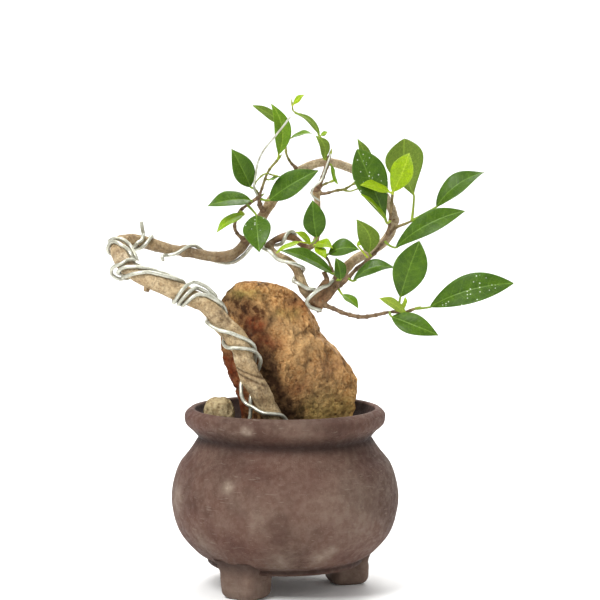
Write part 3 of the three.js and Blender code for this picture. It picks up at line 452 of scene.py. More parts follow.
def noise(points, size):
    """Smooth noise from -1 to 1: the random values at a cell's eight corners, blended by smooth steps."""
    scaled = np.asarray(points, float) / size
    cell = np.floor(scaled).astype(int)
    part = scaled - cell
    part = part * part * (3 - 2 * part)
    total = np.zeros(scaled.shape[:-1])
    for corner in np.ndindex(2, 2, 2):
        weight = np.where(corner, part, 1 - part).prod(axis=-1)
        x, y, z = np.moveaxis((cell + corner) % LATTICE_SIDE, -1, 0)
        total += weight * LATTICE[x, y, z]
    return total


def rough(points, size, octaves=4):
    """Noise upon noise, each at half the size and half the height of the one before."""
    layers = [noise(np.asarray(points) + 7.3 * k, size / 2**k) / 2**k for k in range(octaves)]
    return sum(layers) / 1.6


def unevenness(x, y, z):
    """Slow waves in three directions, each bent by another: the swelling that the CAD bark has."""
    first = np.sin(2.3 * x + 1.7 * np.sin(1.9 * y + 0.6) + 0.8 * z)
    second = np.sin(2.9 * y + 1.3 * np.sin(2.2 * z + 1.1) - 0.7 * x)
    third = np.sin(2.6 * z + 1.5 * np.sin(2.1 * x - 0.4) + 0.9 * y)
    return (first + second + third) / 3


# Lines
def smooth_line(points, fine=40, tension=None):
    """Points along a smooth cubic through all the given ones, fine points for each gap.

    Each gap's cubic leaves and arrives along slopes taken from the neighbours: spaced by the square
    root of the gaps, or with a tension given, as that share of the chord between the neighbours.
    """
    points = np.asarray(points, float)
    padded = np.vstack([2 * points[0] - points[1], points, 2 * points[-1] - points[-2]])
    p0, p1, p2, p3 = (padded[i:len(padded) - 3 + i] for i in range(4))
    if tension is None:
        d0, d1, d2 = (np.linalg.norm(b - a, axis=1, keepdims=True) ** 0.5
                      for a, b in ((p0, p1), (p1, p2), (p2, p3)))
        start = ((p1 - p0) / d0 - (p2 - p0) / (d0 + d1) + (p2 - p1) / d1) * d1
        end = ((p2 - p1) / d1 - (p3 - p1) / (d1 + d2) + (p3 - p2) / d2) * d1
    else:
        start, end = tension * (p2 - p0), tension * (p3 - p1)
    t = np.arange(fine)[None, :, None] / fine
    p1, p2, start, end = (a[:, None, :] for a in (p1, p2, start, end))
    square, cube = t * t, t * t * t
    course = p1 + start * t + (3 * (p2 - p1) - 2 * start - end) * square
    course = course + (2 * (p1 - p2) + start + end) * cube
    return np.vstack([course.reshape(-1, points.shape[1]), points[-1:]])


def travelled(line):
    """Distance travelled along a line at each of its points."""
    return np.concatenate([[0], np.cumsum(np.linalg.norm(np.diff(line, axis=0), axis=1))])


class Stem:
    """A smooth line through [x, y, z, radius] points, read by the distance along it."""

    def __init__(self, points, fine=40):
        points = np.asarray(points, float)
        self.course = smooth_line(points[:, :3], fine)
        self.at = travelled(self.course)
        self.length = self.at[-1]
        self.radii = np.interp(np.arange(len(self.course)) / fine, np.arange(len(points)), points[:, 3])
        self.along = unit(np.gradient(self.course, axis=0))
        self.side = self.carried(self.along)

    @staticmethod
    def carried(along):
        """A cross direction carried along the line, turned at each step only as far as the line turns."""
        axis = np.zeros(3)
        axis[2 - np.argmin(np.abs(along[0])[::-1])] = 1
        first = np.cross(along[0], unit(np.cross(along[0], axis)))
        sides = [first]
        for before, after in zip(along[:-1], along[1:]):
            side = sides[-1]
            turn = np.cross(before, after)
            sine = np.linalg.norm(turn)
            if sine > 1e-12:
                axis, cosine = turn / sine, before @ after
                side = side * cosine + np.cross(axis, side) * sine + axis * (axis @ side) * (1 - cosine)
            sides.append(side)
        return np.array(sides)

    def read(self, distance):
        """Centre, cross direction, other cross direction and radius at distances."""
        def between(values):
            return np.stack([np.interp(distance, self.at, v) for v in values.T], axis=-1)
        side, along = between(self.side), between(self.along)
        side, other = unit(side), unit(np.cross(along, side))
        return between(self.course), side, other, np.interp(distance, self.at, self.radii)

    def around(self, sides, step):
        """Distance, turn, outward direction, centre and radius at the points of a tube round the line."""
        count = max(3, math.ceil(self.length / step))
        distance = np.linspace(0, self.length, count + 1)[:, None]
        turn = turns(sides)
        centre, side, other, radius = (a[:, 0] for a in self.read(distance))
        out = side[:, None] * np.cos(turn)[..., None] + other[:, None] * np.sin(turn)[..., None]
        distance, turn, radius = np.broadcast_arrays(distance, turn, radius[:, None])
        return distance, turn, out, centre[:, None], radius

    def tube(self, sides, step):
        """Grid of points round the line: centre plus radius times the circle of its cross directions."""
        _, _, out, centre, radius = self.around(sides, step)
        return centre + out * radius[..., None]


# Meshes
class Skin:
    """Points, faces and surface values of one piece, gathered from closed grids."""

    def __init__(self):
        self.points, self.faces, self.values, self.count = [], [], {}, 0

    def shell(self, grid, closed_ends=False, **values):
        """Adds a grid whose rows run round. Its ends meet in tips, or with closed_ends the last row
        meets the first. Faces turn outwards by the sign of the volume they enclose."""
        rows, sides = grid.shape[:2]
        number = np.arange(rows * sides).reshape(rows, sides)
        tall = np.vstack([number, number[:1]]) if closed_ends else number
        around = np.hstack([tall, tall[:, :1]])
        quads = np.stack([around[:-1, :-1], around[:-1, 1:], around[1:, 1:], around[1:, :-1]], -1)
        faces = [quads.reshape(-1, 4)]
        points = grid.reshape(-1, 3)
        if not closed_ends:
            tips = np.stack([grid[0].mean(0), grid[-1].mean(0)])
            first, last = rows * sides, rows * sides + 1
            ring, end = around[0], around[-1]
            faces.append(np.stack([np.full(sides, first), ring[1:], ring[:-1]], -1))
            faces.append(np.stack([np.full(sides, last), end[:-1], end[1:]], -1))
            points = np.vstack([points, tips])
        corners = [points[f] for f in faces]
        volume = sum(np.einsum("ij,ij", c[:, 0], np.cross(c[:, k], c[:, k + 1]))
                     for c in corners for k in range(1, c.shape[1] - 1))
        if volume < 0:
            faces = [f[:, ::-1] for f in faces]
        self.points.append(points)
        self.faces.extend((f + self.count).tolist() for f in faces)
        for name, value in values.items():
            filled = np.broadcast_to(value, (rows, sides)).astype(float)
            flat = filled.ravel()
            if not closed_ends:
                flat = np.concatenate([flat, [filled[0].mean(), filled[-1].mean()]])
            self.values.setdefault(name, []).append(flat)
        self.count += len(points)

    def piece(self, name, material, slot, *nodes):
        """The finished object, riding on the one body and standing for the CAD nodes."""
        mesh = bpy.data.meshes.new(name)
        faces = [face for block in self.faces for face in block]
        mesh.from_pydata(placed(np.vstack(self.points)).tolist(), [], faces)
        for value_name, blocks in self.values.items():
            layer = mesh.attributes.new(value_name, "FLOAT", "POINT")
            layer.data.foreach_set("value", np.concatenate(blocks).astype(np.float32))
        mesh.polygons.foreach_set("use_smooth", np.ones(len(mesh.polygons), bool))
        mesh.materials.append(material)
        made = bpy.data.objects.new(name, mesh)
        bpy.context.scene.collection.objects.link(made)
        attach(made, "root")
        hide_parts(*nodes)


# Pot
def curved(points, count):
    """Smooth line through [radius, height] points: a cubic through all with chord slopes, evenly read."""
    line = smooth_line(points, 24, tension=0.5)
    at = travelled(line)
    return np.stack([np.interp(np.linspace(0, at[-1], count), at, v) for v in line.T], axis=-1)


def round_points(turn, radius, height):
    """Points round the axis: (radius sin t, -radius cos t, height). A turn of 0 is the front."""
    return points_of(radius * np.sin(turn), -radius * np.cos(turn), height)


def sheen_and_dust_at(turn, height):
    """Dust and painted sheen: the sum of soft round spots at the listed places, a little wider than high."""
    total = 0
    for degrees, level, size, strength in SHEEN_AND_DUST_SPOTS:
        apart = (turn - math.radians(degrees) + math.pi) % (2 * math.pi) - math.pi
        reach = (SHEEN_AND_DUST_FORM["radius"] * apart) ** 2 + (SHEEN_AND_DUST_FORM["squat"] * (height - level)) ** 2
        total = total + strength * np.exp(-reach / (SHEEN_AND_DUST_FORM["spread"] * size) ** 2)
    return np.minimum(total, 1)


def pot_wall(profile, turn):
    """Pot's surface: radius + throwing lines + dents + wear, turned round, with a wavy lip."""
    foot_radius, base = POT["base"]
    radius, height = profile[:, :1], profile[:, 1:]
    place = round_points(turn, radius, height)
    outside = (radius > foot_radius) & (height > base + 0.5)
    lines = 0.1 * noise(points_of(0, 0, place[..., 2]), 2.2) * (0.5 + 0.5 * noise(place, 30))
    dents = 0.35 * rough(place, 26, 3) + 0.07 * rough(place, 3, 2)
    worn = soft_spot((height - POT["worn"]) / 2.2) * 0.5 * rough(place, 7, 3)
    moved = radius + np.where(outside, lines + dents - 0.1 + worn, 0.2 * rough(place, 9, 2))
    rise = np.where(height > POT["lip_from"], 0.25 * rough(place, 18, 2) - 0.25, 0)
    return round_points(turn, np.minimum(moved, POT["widest"]), height + rise)


def pot_body(skin):
    """Thrown body: a closed profile turned round, dusty outside with a painted sheen on the belly, and
    painted shade in its joints and inside.
    """
    drain, floor, (foot_radius, base) = POT["drain"], POT["floor"], POT["base"]
    under = np.stack([np.linspace(drain, foot_radius, 14), np.full(14, base - 0.2)], axis=-1)
    outer = [under, POT["ridge"], curved(POT["belly"], 72)[1:], curved(POT["rim"], 26)[1:]]
    inner = [curved(POT["lip"], 6)[1:], curved(POT["throat"], 16)[1:], curved(POT["inside"], 30)[1:],
             [[drain + 3, floor], [drain, floor - 1], [drain, base + 2]]]
    profile = np.vstack(outer + inner)
    turn, height = turns(POT["sides"]), profile[:, 1:]
    outside = np.arange(len(profile))[:, None] < sum(len(part) for part in outer)
    # Painted shade: darker in the groove under the rim, at the foot joint, and on the inside below the lip
    joint_shade = soft_spot((height - POT["neck"]) / 4.5) + 0.8 * soft_spot((height - POT["foot_joint"]) / 2.5)
    dark = joint_shade * outside + (~outside & (height < POT["shaded_below"]))
    skin.shell(pot_wall(profile, turn), closed_ends=True, dust=sheen_and_dust_at(turn, height) * outside,
               hollow=np.clip(dark, 0, 1), foot=0.0)


def pot_feet(skin):
    """Block feet: a rounded square carried up from the sole, flared into the belly and rough."""
    around = turns(FOOT["sides"])
    square = rounded_square(around, FOOT["square"])
    rise = np.concatenate([[0, 0.008, 0.04, 0.1], np.linspace(0.17, 1, 26)])[:, None]
    inset = np.concatenate([[0.66, 0.78, 0.88, 0.96], np.ones(26)])[:, None]
    flare = rise * FOOT["top"] / FOOT["full"]
    size = (0.86 + 0.1 * flare**0.7 + 0.3 * flare**5) * inset
    out = points_of(np.cos(around), np.sin(around), 0)
    block = points_of(FOOT["wide"] / 2 * size * np.cos(around) * square,
                      FOOT["deep"] / 2 * size * np.sin(around) * square - FOOT["reach"], rise * FOOT["top"])
    for number, degrees in enumerate(FOOT["turns"]):
        bump = (1.5 * rough(block + 40 * number, 9, 5) - 0.3) * np.minimum(1, rise * 14)
        # Painted shade darkens each foot towards its top, where it meets the belly
        skin.shell(spun(block + out * bump[..., None], math.radians(degrees)), dust=0.12 + 0.3 * (1 - rise),
                   hollow=np.clip((rise - 0.55) * 2.2, 0, 0.8), foot=1.0)


# Soil
def soil_top(x, y):
    """Height of the soil: a low heap, falling with the square of the reach, with bumps of noise."""
    share = np.hypot(x, y) / SOIL["radius"]
    return SOIL["level"] + SOIL["heap"] * (1 - share**2) + 0.8 * rough(points_of(x, y, 0), 9, 4)


def soil_body(skin):
    """Filling: the pot's inside less a small gap, turned round, under a heaped and crumbly top."""
    gap, floor = SOIL["gap"], POT["floor"] + SOIL["gap"]
    wall = curved(POT["inside"], 20)[::-1] + [-gap, gap]
    outline = np.vstack([[[1, floor], [20, floor]], wall])
    radii, turn = np.linspace(SOIL["radius"], 0.5, 54)[:, None], turns(SOIL["sides"])
    top = round_points(turn, radii, 0)
    top[..., 2] = soil_top(top[..., 0], top[..., 1])
    skin.shell(np.vstack([round_points(turn, outline[:, :1], outline[:, 1:]), top]), damp=0.5)


def soil_grains(skin):
    """Crumbs strewn at random over the soil, half sunk: balls of few faces, squeezed and turned."""
    draw = np.random.default_rng(5)
    for _ in range(GRAINS["count"]):
        reach, turn = GRAINS["reach"] * math.sqrt(draw.random()), draw.uniform(0, 2 * math.pi)
        x, y = reach * math.sin(turn), -reach * math.cos(turn)
        size = draw.uniform(GRAINS["least"], GRAINS["most"]) * draw.uniform(0.6, 1)
        radii = size * draw.uniform(0.7, 1.15, 3)
        centre = [x, y, float(soil_top(x, y)) + 0.2 * size]
        crumb = spun(ball(4, 7, 0.35, twist=1) * radii, draw.uniform(0, math.pi)) + centre
        skin.shell(crumb, damp=draw.uniform(0, 1))


# Stones
def rock_outline():
    """Rock before it is broken, and its outward directions: at each height, a rounded square
    between the left, right, front and back of its outline."""
    table = smooth_line(ROCK, 16, tension=0.5)
    at, span = np.linspace(0, 1, ROCK_FORM["rows"]), np.linspace(0, 1, len(table))
    z, left, right, front, back = (np.interp(at, span, v)[:, None] for v in table.T)
    turn = turns(ROCK_FORM["sides"])
    c, s = np.cos(turn), np.sin(turn)
    reach = rounded_square(turn, ROCK_FORM["square"]) * ROCK_FORM["size"]
    place = points_of((left + right) / 2 + (right - left) / 2 * c * reach,
                      (front + back) / 2 + (back - front) / 2 * s * reach, z)
    upwards = np.clip((z - ROCK_CROWN["from"]) / ROCK_CROWN["over"], 0, ROCK_CROWN["most"])
    return place, unit(points_of(c, s, upwards))


def rock_body(skin):
    """Rock: its outline pushed out by facets, creases and pits, cut flat in places, and crusted."""
    place, outwards = rock_outline()
    x, y, z = np.moveaxis(place, -1, 0)
    facets = 2.8 * noise(place + 3 * rough(place, 20, 2)[..., None], 24)
    creases = -1.7 * np.clip(1 - np.abs(rough(place * [1.4, 1, 0.6], 17, 3)) * 7, 0, 1)
    pits = -1.1 * np.clip(rough(place, 4.5, 3) - 0.25, 0, 1) + 0.45 * rough(place, 3.2, 3)
    away = x - ROCK_SHADOWED_FLANK["x"] + (z - ROCK_SHADOWED_FLANK["level"]) * ROCK_SHADOWED_FLANK["lean"]
    fade = np.clip((ROCK_SHADOWED_FLANK["top"] - z) / ROCK_SHADOWED_FLANK["fade"], 0, 1)
    shadowed_flank = soft_spot(away / ROCK_SHADOWED_FLANK["wide"]) * (y < 0) * fade
    grid = place + outwards * (facets + creases + pits + 0.2 - 1.2 * shadowed_flank)[..., None]
    bent = grid + 3.5 * np.stack([rough(grid + k, 11, 3) for k in (0, 40, 80)], axis=-1)
    # Flat faces: slanted planes cut the front and the back where they stand out
    draw = np.random.default_rng(3)
    for normal in unit(draw.normal(size=(ROCK_CUTS["count"], 3)) * [0.8, 1.3, 0.8]):
        ahead = grid @ normal
        over = np.clip(ahead - np.quantile(ahead, ROCK_CUTS["leaves"]), 0, None)
        over = over * (abs(normal[1]) > ROCK_CUTS["facing"])
        grid = grid - normal * over[..., None] * ROCK_CUTS["deep"]
    coarse, crust = rough(grid, 6.5, 4), rough(grid + 15, 2.4, 3)
    grid = grid + outwards * (coarse + 0.45 * crust - 0.3)[..., None]
    patchy = 1.2 + 1.2 * rough(grid + 20, 7, 3)
    stains = {}
    for name, spots in ROCK_STAINS.items():
        amount = sum(soft_spot((bent[..., 0] - middle) / wide) * soft_spot((bent[..., 2] - level) / high)
                     for middle, level, wide, high in spots)
        stains[name] = np.clip(amount * patchy, 0, 1)
    # The trunk's painted shadow on the flank is laid into the dark stains too
    stains["dark"] = np.clip(stains["dark"] + shadowed_flank, 0, 1)
    # Painted shade: the trunk's shadow on the flank, darker creases and low places, lighter tops of the
    # crust
    dark = shadowed_flank - 0.4 * creases + 1.6 * np.clip(-coarse - 0.15, 0, 1) - 0.5 * crust
    skin.shell(grid, hollow=np.clip(dark, 0, 1), **stains)


def side_stone_body(skin):
    """Side stone: an ellipsoid drawn towards its corners, with a coarse grain."""
    sphere = ball(60, 84, 0.04)
    squarer = (np.abs(sphere) ** 3).sum(-1, keepdims=True) ** (-1 / 3) * 0.5 + 0.5
    grid = sphere * SIDE_STONE["radii"]
    push = 0.09 * noise(sphere * 9, 7.0) + 0.09 * rough(grid, 4.5, 4) + 0.035 * rough(grid, 1.6, 2) - 0.03
    grid = grid * squarer * (1 + push[..., None]) * SIDE_STONE["size"] + SIDE_STONE["at"]
    skin.shell(grid)


# Wood
def bark_swell(out, centre):
    """Share by which the bark stands out: slow waves round the wood and along it."""
    along = centre[..., 2] / BARK["rise"] + centre[..., 0] / BARK["run"]
    return 1 + BARK["ridge"] * unevenness(out[..., 0] * BARK["ridges"], out[..., 1] * BARK["ridges"], along)


def knotted(radius, out, centre):
    """Radius carried out to the knots' spheres and blended with them: s log(e^(r/s) + e^(k/s))."""
    for *place, size in KNOTS:
        away = np.array(place) - centre
        ahead = (out * away).sum(axis=-1)
        within = size**2 - (away**2).sum(axis=-1)
        reach = np.where(within > 0, ahead + np.sqrt(within.clip(0) + ahead**2), 0)
        radius = KNOT_BLEND * np.logaddexp(radius / KNOT_BLEND, reach / KNOT_BLEND)
    return radius


def wood_relief(distance, turn, radius):
    """Height of the bark's relief: long fibres, rings across them and lumps, as noise on the tube."""
    wood = points_of(radius * np.cos(turn), radius * np.sin(turn), distance)
    fibres = rough(wood * [1, 1, 0.2], 1.6, 3)
    rings = rough(wood * [0.3, 0.3, 1], 2.4, 3)
    lumps = rough(wood, 8, 3)
    return 0.26 * fibres + 0.28 * rings + 0.45 * lumps


def scars(place):
    """Old wire marks across the front: narrow grooves where slanted planes cut the bark."""
    depth = 0
    for (x, z), slope, width in SCARS:
        across = math.cos(slope) * (place[..., 2] - z) + math.sin(slope) * (place[..., 0] - x)
        depth = depth + soft_spot(across / width)
    return depth * (place[..., 1] < -24) * soft_spot(((place[..., 2] - SCARS[0][0][1]) / 12) ** 2)


def bark(skin, points, sides, step, brown):
    """Limb: its stem's radius, swollen, knotted and given the bark's relief. Brown runs along it."""
    stem = Stem(points)
    distance, turn, out, centre, radius = stem.around(sides, step)
    radius = knotted(radius * bark_swell(out, centre), out, centre)
    tone = np.interp(distance / stem.length, np.linspace(0, 1, len(brown)), brown)
    relief = wood_relief(distance, turn, radius) * np.minimum(1, radius / 6) ** 0.5 * (1 + tone**2)
    grid = centre + out * (radius + relief)[..., None]
    marks = scars(grid)
    grid = grid - out * (0.9 * marks)[..., None]
    # Painted shade darkens the relief's low places and the old wire marks
    skin.shell(grid, brown=tone, hollow=np.clip(-relief * 2.0 + marks, 0, 1))


def knot_ball(skin, place, size, brown):
    """Knot: a sphere with the bark's noise, of the same size as the swelling that it fills."""
    sphere = ball(26, 36, 0.1)
    relief = rough(sphere * size + place, 2.6, 4)
    # Painted shade darkens the noise's low places
    skin.shell(place + sphere * (size * (0.95 + 0.16 * relief))[..., None], brown=brown,
               hollow=np.clip(-relief * 1.6, 0, 1))


# Wires
def on_bark(stem, wound):
    """Wound points put on the bark: centre plus out times (swollen radius + rest + wire + lift)."""
    distance, turn, lift = wound.T
    centre, side, other, radius = stem.read(distance)
    turn = np.radians(turn)[:, None]
    out = side * np.cos(turn) + other * np.sin(turn)
    reach = radius * bark_swell(out, centre) + WIRE_REST + WIRE_RADIUS + lift
    return centre + out * reach[:, None]


def wire_points(wire, stems):
    """The wire's whole course: free points, wound points on the wood, free points."""
    parts = [np.array(wire.get("before", np.empty((0, 3))), float)]
    if "wound" in wire:
        wound = np.array([[*point, 0][:3] for point in wire["wound"]], float)
        parts.append(on_bark(stems[wire["on"]], smooth_line(wound, WOUND_SAMPLES, WOUND_TENSION)))
    parts.append(np.array(wire.get("after", np.empty((0, 3))), float))
    course = np.vstack(parts)
    radius = np.full((len(course), 1), THIN_WIRE_RADIUS if wire.get("thin") else WIRE_RADIUS)
    return np.hstack([course, radius])


def wire_tube(skin, points):
    """Drawn wire: a round tube, a little uneven where pliers held it, with bevelled ends."""
    stem = Stem(points, 12)
    distance, turn, out, centre, radius = stem.around(14, 0.9)
    dents = 0.03 * noise(points_of(np.cos(turn), np.sin(turn), distance / 2) * 3, 2.5)
    ends = np.minimum(distance, stem.length - distance)
    chamfer = 0.2 * np.clip(1 - ends / 0.5, 0, 1)
    skin.shell(centre + out * (radius * (1 + dents) - chamfer)[..., None])


# Leaves
def blade_share(along, form):
    """Half width as a share of the whole: a skewed sine, drawn in near the tip."""
    shoulder, fullness = FORMS[form]
    body = np.sin(math.pi * along ** shoulder).clip(0) ** fullness
    return np.maximum(body * (1 - BLADE["taper"] * along ** BLADE["sharpness"]), BLADE["narrowest"])


def blade(skin, leaf, draw):
    """Leaf blade on (along, across): base + along t + side (reach + bow h) + face (arch h + fold |reach|
    + wave), h = 4 t (1 - t), doubled to an upper and an under face with a groove and a keel on the rib."""
    base, tip, wide, turn, arch, bow, tone, form = (*leaf, "egg")[:8]
    youth, turned_over = TONES[tone]
    base, tip = np.array(base, float), np.array(tip, float)
    length = np.linalg.norm(tip - base)
    along = (tip - base) / length
    flat = unit(np.cross(along, [0, -1, 0]))
    turn = math.radians(turn)
    side = flat * math.cos(turn) + np.cross(along, flat) * math.sin(turn)
    face = unit(np.cross(side, along))
    rows = max(16, int(length / 0.9))
    t = ((1 - np.cos(np.linspace(0, math.pi, rows))) / 2 * 0.35 + np.linspace(0, 1, rows) * 0.65)[:, None]
    columns = BLADE["columns"]
    half = np.linspace(-1, 1, columns)
    half = np.sign(half) * np.abs(half) ** BLADE["crowding"]
    across = np.concatenate([half, half[::-1]])[None, :]
    upper = np.repeat([1, -1], columns)[None, :]
    reach = across * wide / 2 * blade_share(t, form)
    hump = 4 * t * (1 - t)
    phase = draw.uniform(0, 6)
    wave = BLADE["wave"] * np.sin(BLADE["waves"] * t + across) * across
    ripple = BLADE["ripple"] * wide * np.sin(9 * t + phase + 2 * across) * np.abs(across) ** 3
    lift = arch * hump + np.abs(reach) * math.tan(math.radians(BLADE["fold"])) + wave + ripple
    # The rib is a groove in the upper face and a keel under the leaf
    rib = soft_spot(reach / RIBS["rib"]) * (1 - 0.7 * t) * min(1, wide / 10)
    true_upper = -upper if turned_over else upper
    thick = upper * (BLADE["thick"] / 2) * (1 - 0.75 * np.abs(across) ** 3)
    relief = np.where(true_upper > 0, -RIBS["rib_groove"], RIBS["rib_keel"]) * rib * upper
    vein_height = np.where(true_upper > 0, -RIBS["vein_groove"], RIBS["vein_keel"])
    veins = leaf_veins(t, across, wide, length)
    relief = relief + vein_height * veins * upper * min(1, wide / 12)
    grid = (base + along * (length * t)[..., None] + side * (reach + bow * hump)[..., None]
            + face * (lift + thick + relief)[..., None])
    skin.shell(grid, along=t, across=across, reach=np.abs(reach), under=true_upper < 0,
               youth=np.clip(youth + draw.uniform(-0.06, 0.06), 0, 1), shade=draw.uniform(0, 1),
               slope=length / max(wide, 1), stalk=0.0, fleck=tone == "flecked")


def leaf_veins(t, across, wide, length):
    """Side veins: narrow lines at even steps of t - slant wide / length |across|^bend."""
    course = t - VEINS["slant"] * wide / length * np.abs(across) ** VEINS["bend"]
    return soft_spot(((course * VEINS["count"]) % 1 - 0.5) / 0.16) * (1 - np.abs(across) ** 4)


def nearest_on(stems, place):
    """Point nearest to a place on the centrelines of a shoot's twigs."""
    points = np.vstack([stem.course for stem in stems])
    return points[np.argmin(np.linalg.norm(points - place, axis=1))]


def stalk(skin, leaf, stems, draw):
    """Leaf stalk: a thin bent tube from the twig into the foot of the blade."""
    base, tip, wide, _, _, _, tone = leaf[:7]
    base, tip = np.array(base, float), np.array(tip, float)
    start = nearest_on(stems, base)
    thick = 0.55 if wide < 8 else 0.75
    into = base + (tip - base) * 0.08
    bend = base * 0.6 + start * 0.4 - (tip - base) * 0.02
    stem = Stem([[*start, thick * 1.35], [*bend, thick], [*base, thick * 0.9], [*into, thick * 0.55]], 12)
    skin.shell(stem.tube(12, 0.8), along=0.0, across=0.0, reach=0.0, under=0.0, youth=TONES[tone][0],
               shade=draw.uniform(0, 1), slope=1.0, stalk=1.0, fleck=0.0)


def twig(skin, points, draw):
    """Twig: a tube with swollen nodes, a fine relief, and green where it is thin and young."""
    stem = Stem(points, 16)
    distance, turn, out, centre, radius = stem.around(14, 0.6)
    nodes = np.arange(draw.uniform(2, 4), stem.length, draw.uniform(5.5, 7.5))
    swell = sum((soft_spot((distance - node) / 0.8) for node in nodes), 0 * distance)
    wood = points_of(radius * np.cos(turn), radius * np.sin(turn), distance * 0.5)
    relief = 0.34 * rough(wood, 1.7, 3) * np.minimum(1, radius)
    grid = centre + out * (radius * (0.84 + 0.26 * swell) + relief)[..., None]
    fresh = np.clip((1.15 - radius) / 0.5, 0, 1)
    # Painted shade darkens the relief's low places; the nodes are darker too
    skin.shell(grid, fresh=fresh, hollow=np.clip(-relief * 3 + 0.5 * swell, 0, 1))
    return stem


def bud(skin, stem):
    """Pointed bud at a twig's end: a tube whose radius is a sine drawn to a point."""
    centre, _, _, radius = stem.read(np.array([stem.length]))
    along, size = stem.along[-1], min(float(radius[0]) * 1.15, 0.9)
    points = [[*(centre[0] + along * s * 4.4), size * r] for s, r in
              ((-0.25, 0.5), (0, 0.95), (0.3, 1), (0.6, 0.7), (0.85, 0.3), (1, 0.08))]
    skin.shell(Stem(points, 8).tube(10, 0.5), fresh=1.0, hollow=0.0)


# Materials
def tint(red, green, blue):
    """Screen colour of 0 to 255 a channel, made linear, with full alpha."""
    share = np.array([red, green, blue]) / 255
    linear = np.where(share <= 0.04045, share / 12.92, ((share + 0.055) / 1.055) ** 2.4)
    return (*linear.tolist(), 1.0)


def add(tree, kind, settings=None, **inputs):
    """Adds a node: settings are its options, and inputs are values or the sockets that feed it.

    An input goes by its own name with _ for a space, or by n and its number.
    """
    node = tree.nodes.new(kind)
    for name, value in (settings or {}).items():
        setattr(node, name, value)
    for name, value in inputs.items():
        key = name.replace("_", " ")
        socket = node.inputs[int(key[1:])] if key[0] == "n" and key[1:].isdigit() else node.inputs[key]
        if isinstance(value, bpy.types.NodeSocket):
            tree.links.new(value, socket)
        else:
            socket.default_value = value
    return node


def combine(tree, operation, first, second=0.0):
    """Result of a product, power or other operation on two values."""
    return add(tree, "ShaderNodeMath", {"operation": operation}, n0=first, n1=second).outputs[0]


def stepped(tree, value, low, high):
    """Smooth step: 0 where the value is at low, 1 where it is at high, whichever is the larger."""
    return add(tree, "ShaderNodeMapRange", {"interpolation_type": "SMOOTHSTEP"}, Value=value,
               From_Min=low, From_Max=high).outputs[0]


def new_group(name, inputs, outputs):
    """Shader group with named inputs, each with its default, and named outputs."""
    tree = bpy.data.node_groups.new(name, "ShaderNodeTree")
    for label, default in inputs.items():
        kind = "NodeSocketVector" if default is None else "NodeSocketFloat"
        socket = tree.interface.new_socket(label, in_out="INPUT", socket_type=kind)
        if default is not None:
            socket.default_value = default
    for label in outputs:
        tree.interface.new_socket(label, in_out="OUTPUT", socket_type="NodeSocketFloat")
    return tree, tree.nodes.new("NodeGroupInput").outputs, tree.nodes.new("NodeGroupOutput").inputs


def patches_group():
    """Patches: smooth noise of a size, read between a low and a high value."""
    tree, given, result = new_group(
        "patches", {"Vector": None, "Size": 5.0, "Detail": 3.0, "Low": 0.4, "High": 0.6}, ["Mask", "Height"])
    scale = combine(tree, "DIVIDE", 1.0, given["Size"])
    level = add(tree, "ShaderNodeTexNoise", Vector=given["Vector"], Scale=scale,
                Detail=given["Detail"], Roughness=0.6).outputs["Fac"]
    tree.links.new(stepped(tree, level, given["Low"], given["High"]), result["Mask"])
    tree.links.new(level, result["Height"])
    return tree


def specks_group():
    """Specks: round spots of cells of a size, each there or not by its own random value."""
    tree, given, result = new_group(
        "specks", {"Vector": None, "Size": 2.0, "Reach": 0.3, "Share": 0.5}, ["Mask"])
    scale = combine(tree, "DIVIDE", 1.0, given["Size"])
    cells = add(tree, "ShaderNodeTexVoronoi", Vector=given["Vector"], Scale=scale).outputs
    spot = stepped(tree, cells["Distance"], given["Reach"], 0.0)
    lot = add(tree, "ShaderNodeSeparateColor", Color=cells["Color"]).outputs[0]
    there = combine(tree, "LESS_THAN", lot, given["Share"])
    tree.links.new(combine(tree, "MULTIPLY", spot, there), result["Mask"])
    return tree


def cracks_group():
    """Cracks: thin lines where cells of a size meet, their course bent by noise."""
    tree, given, result = new_group("cracks", {"Vector": None, "Size": 8.0, "Width": 0.04}, ["Mask"])
    bend = add(tree, "ShaderNodeTexNoise", Vector=given["Vector"], Scale=0.35, Detail=3.0).outputs["Color"]
    pushed = add(tree, "ShaderNodeVectorMath", {"operation": "MULTIPLY_ADD"}, n0=bend, n1=(3, 3, 3),
                 n2=given["Vector"]).outputs[0]
    scale = combine(tree, "DIVIDE", 1.0, given["Size"])
    cells = add(tree, "ShaderNodeTexVoronoi", {"feature": "DISTANCE_TO_EDGE"}, Vector=pushed, Scale=scale)
    tree.links.new(stepped(tree, cells.outputs["Distance"], given["Width"], 0.0), result["Mask"])
    return tree


def fissures_group():
    """Fissures: thin broken lines where noise of a size crosses its own middle value."""
    tree, given, result = new_group("fissures", {"Vector": None, "Size": 8.0, "Width": 0.01}, ["Mask"])
    scale = combine(tree, "DIVIDE", 1.0, given["Size"])
    level = add(tree, "ShaderNodeTexNoise", Vector=given["Vector"], Scale=scale, Detail=6.0,
                Roughness=0.62).outputs["Fac"]
    away = combine(tree, "ABSOLUTE", combine(tree, "SUBTRACT", level, 0.5))
    tree.links.new(stepped(tree, away, given["Width"], 0.0), result["Mask"])
    return tree


PATCHES, SPECKS, CRACKS, FISSURES = patches_group(), specks_group(), cracks_group(), fissures_group()


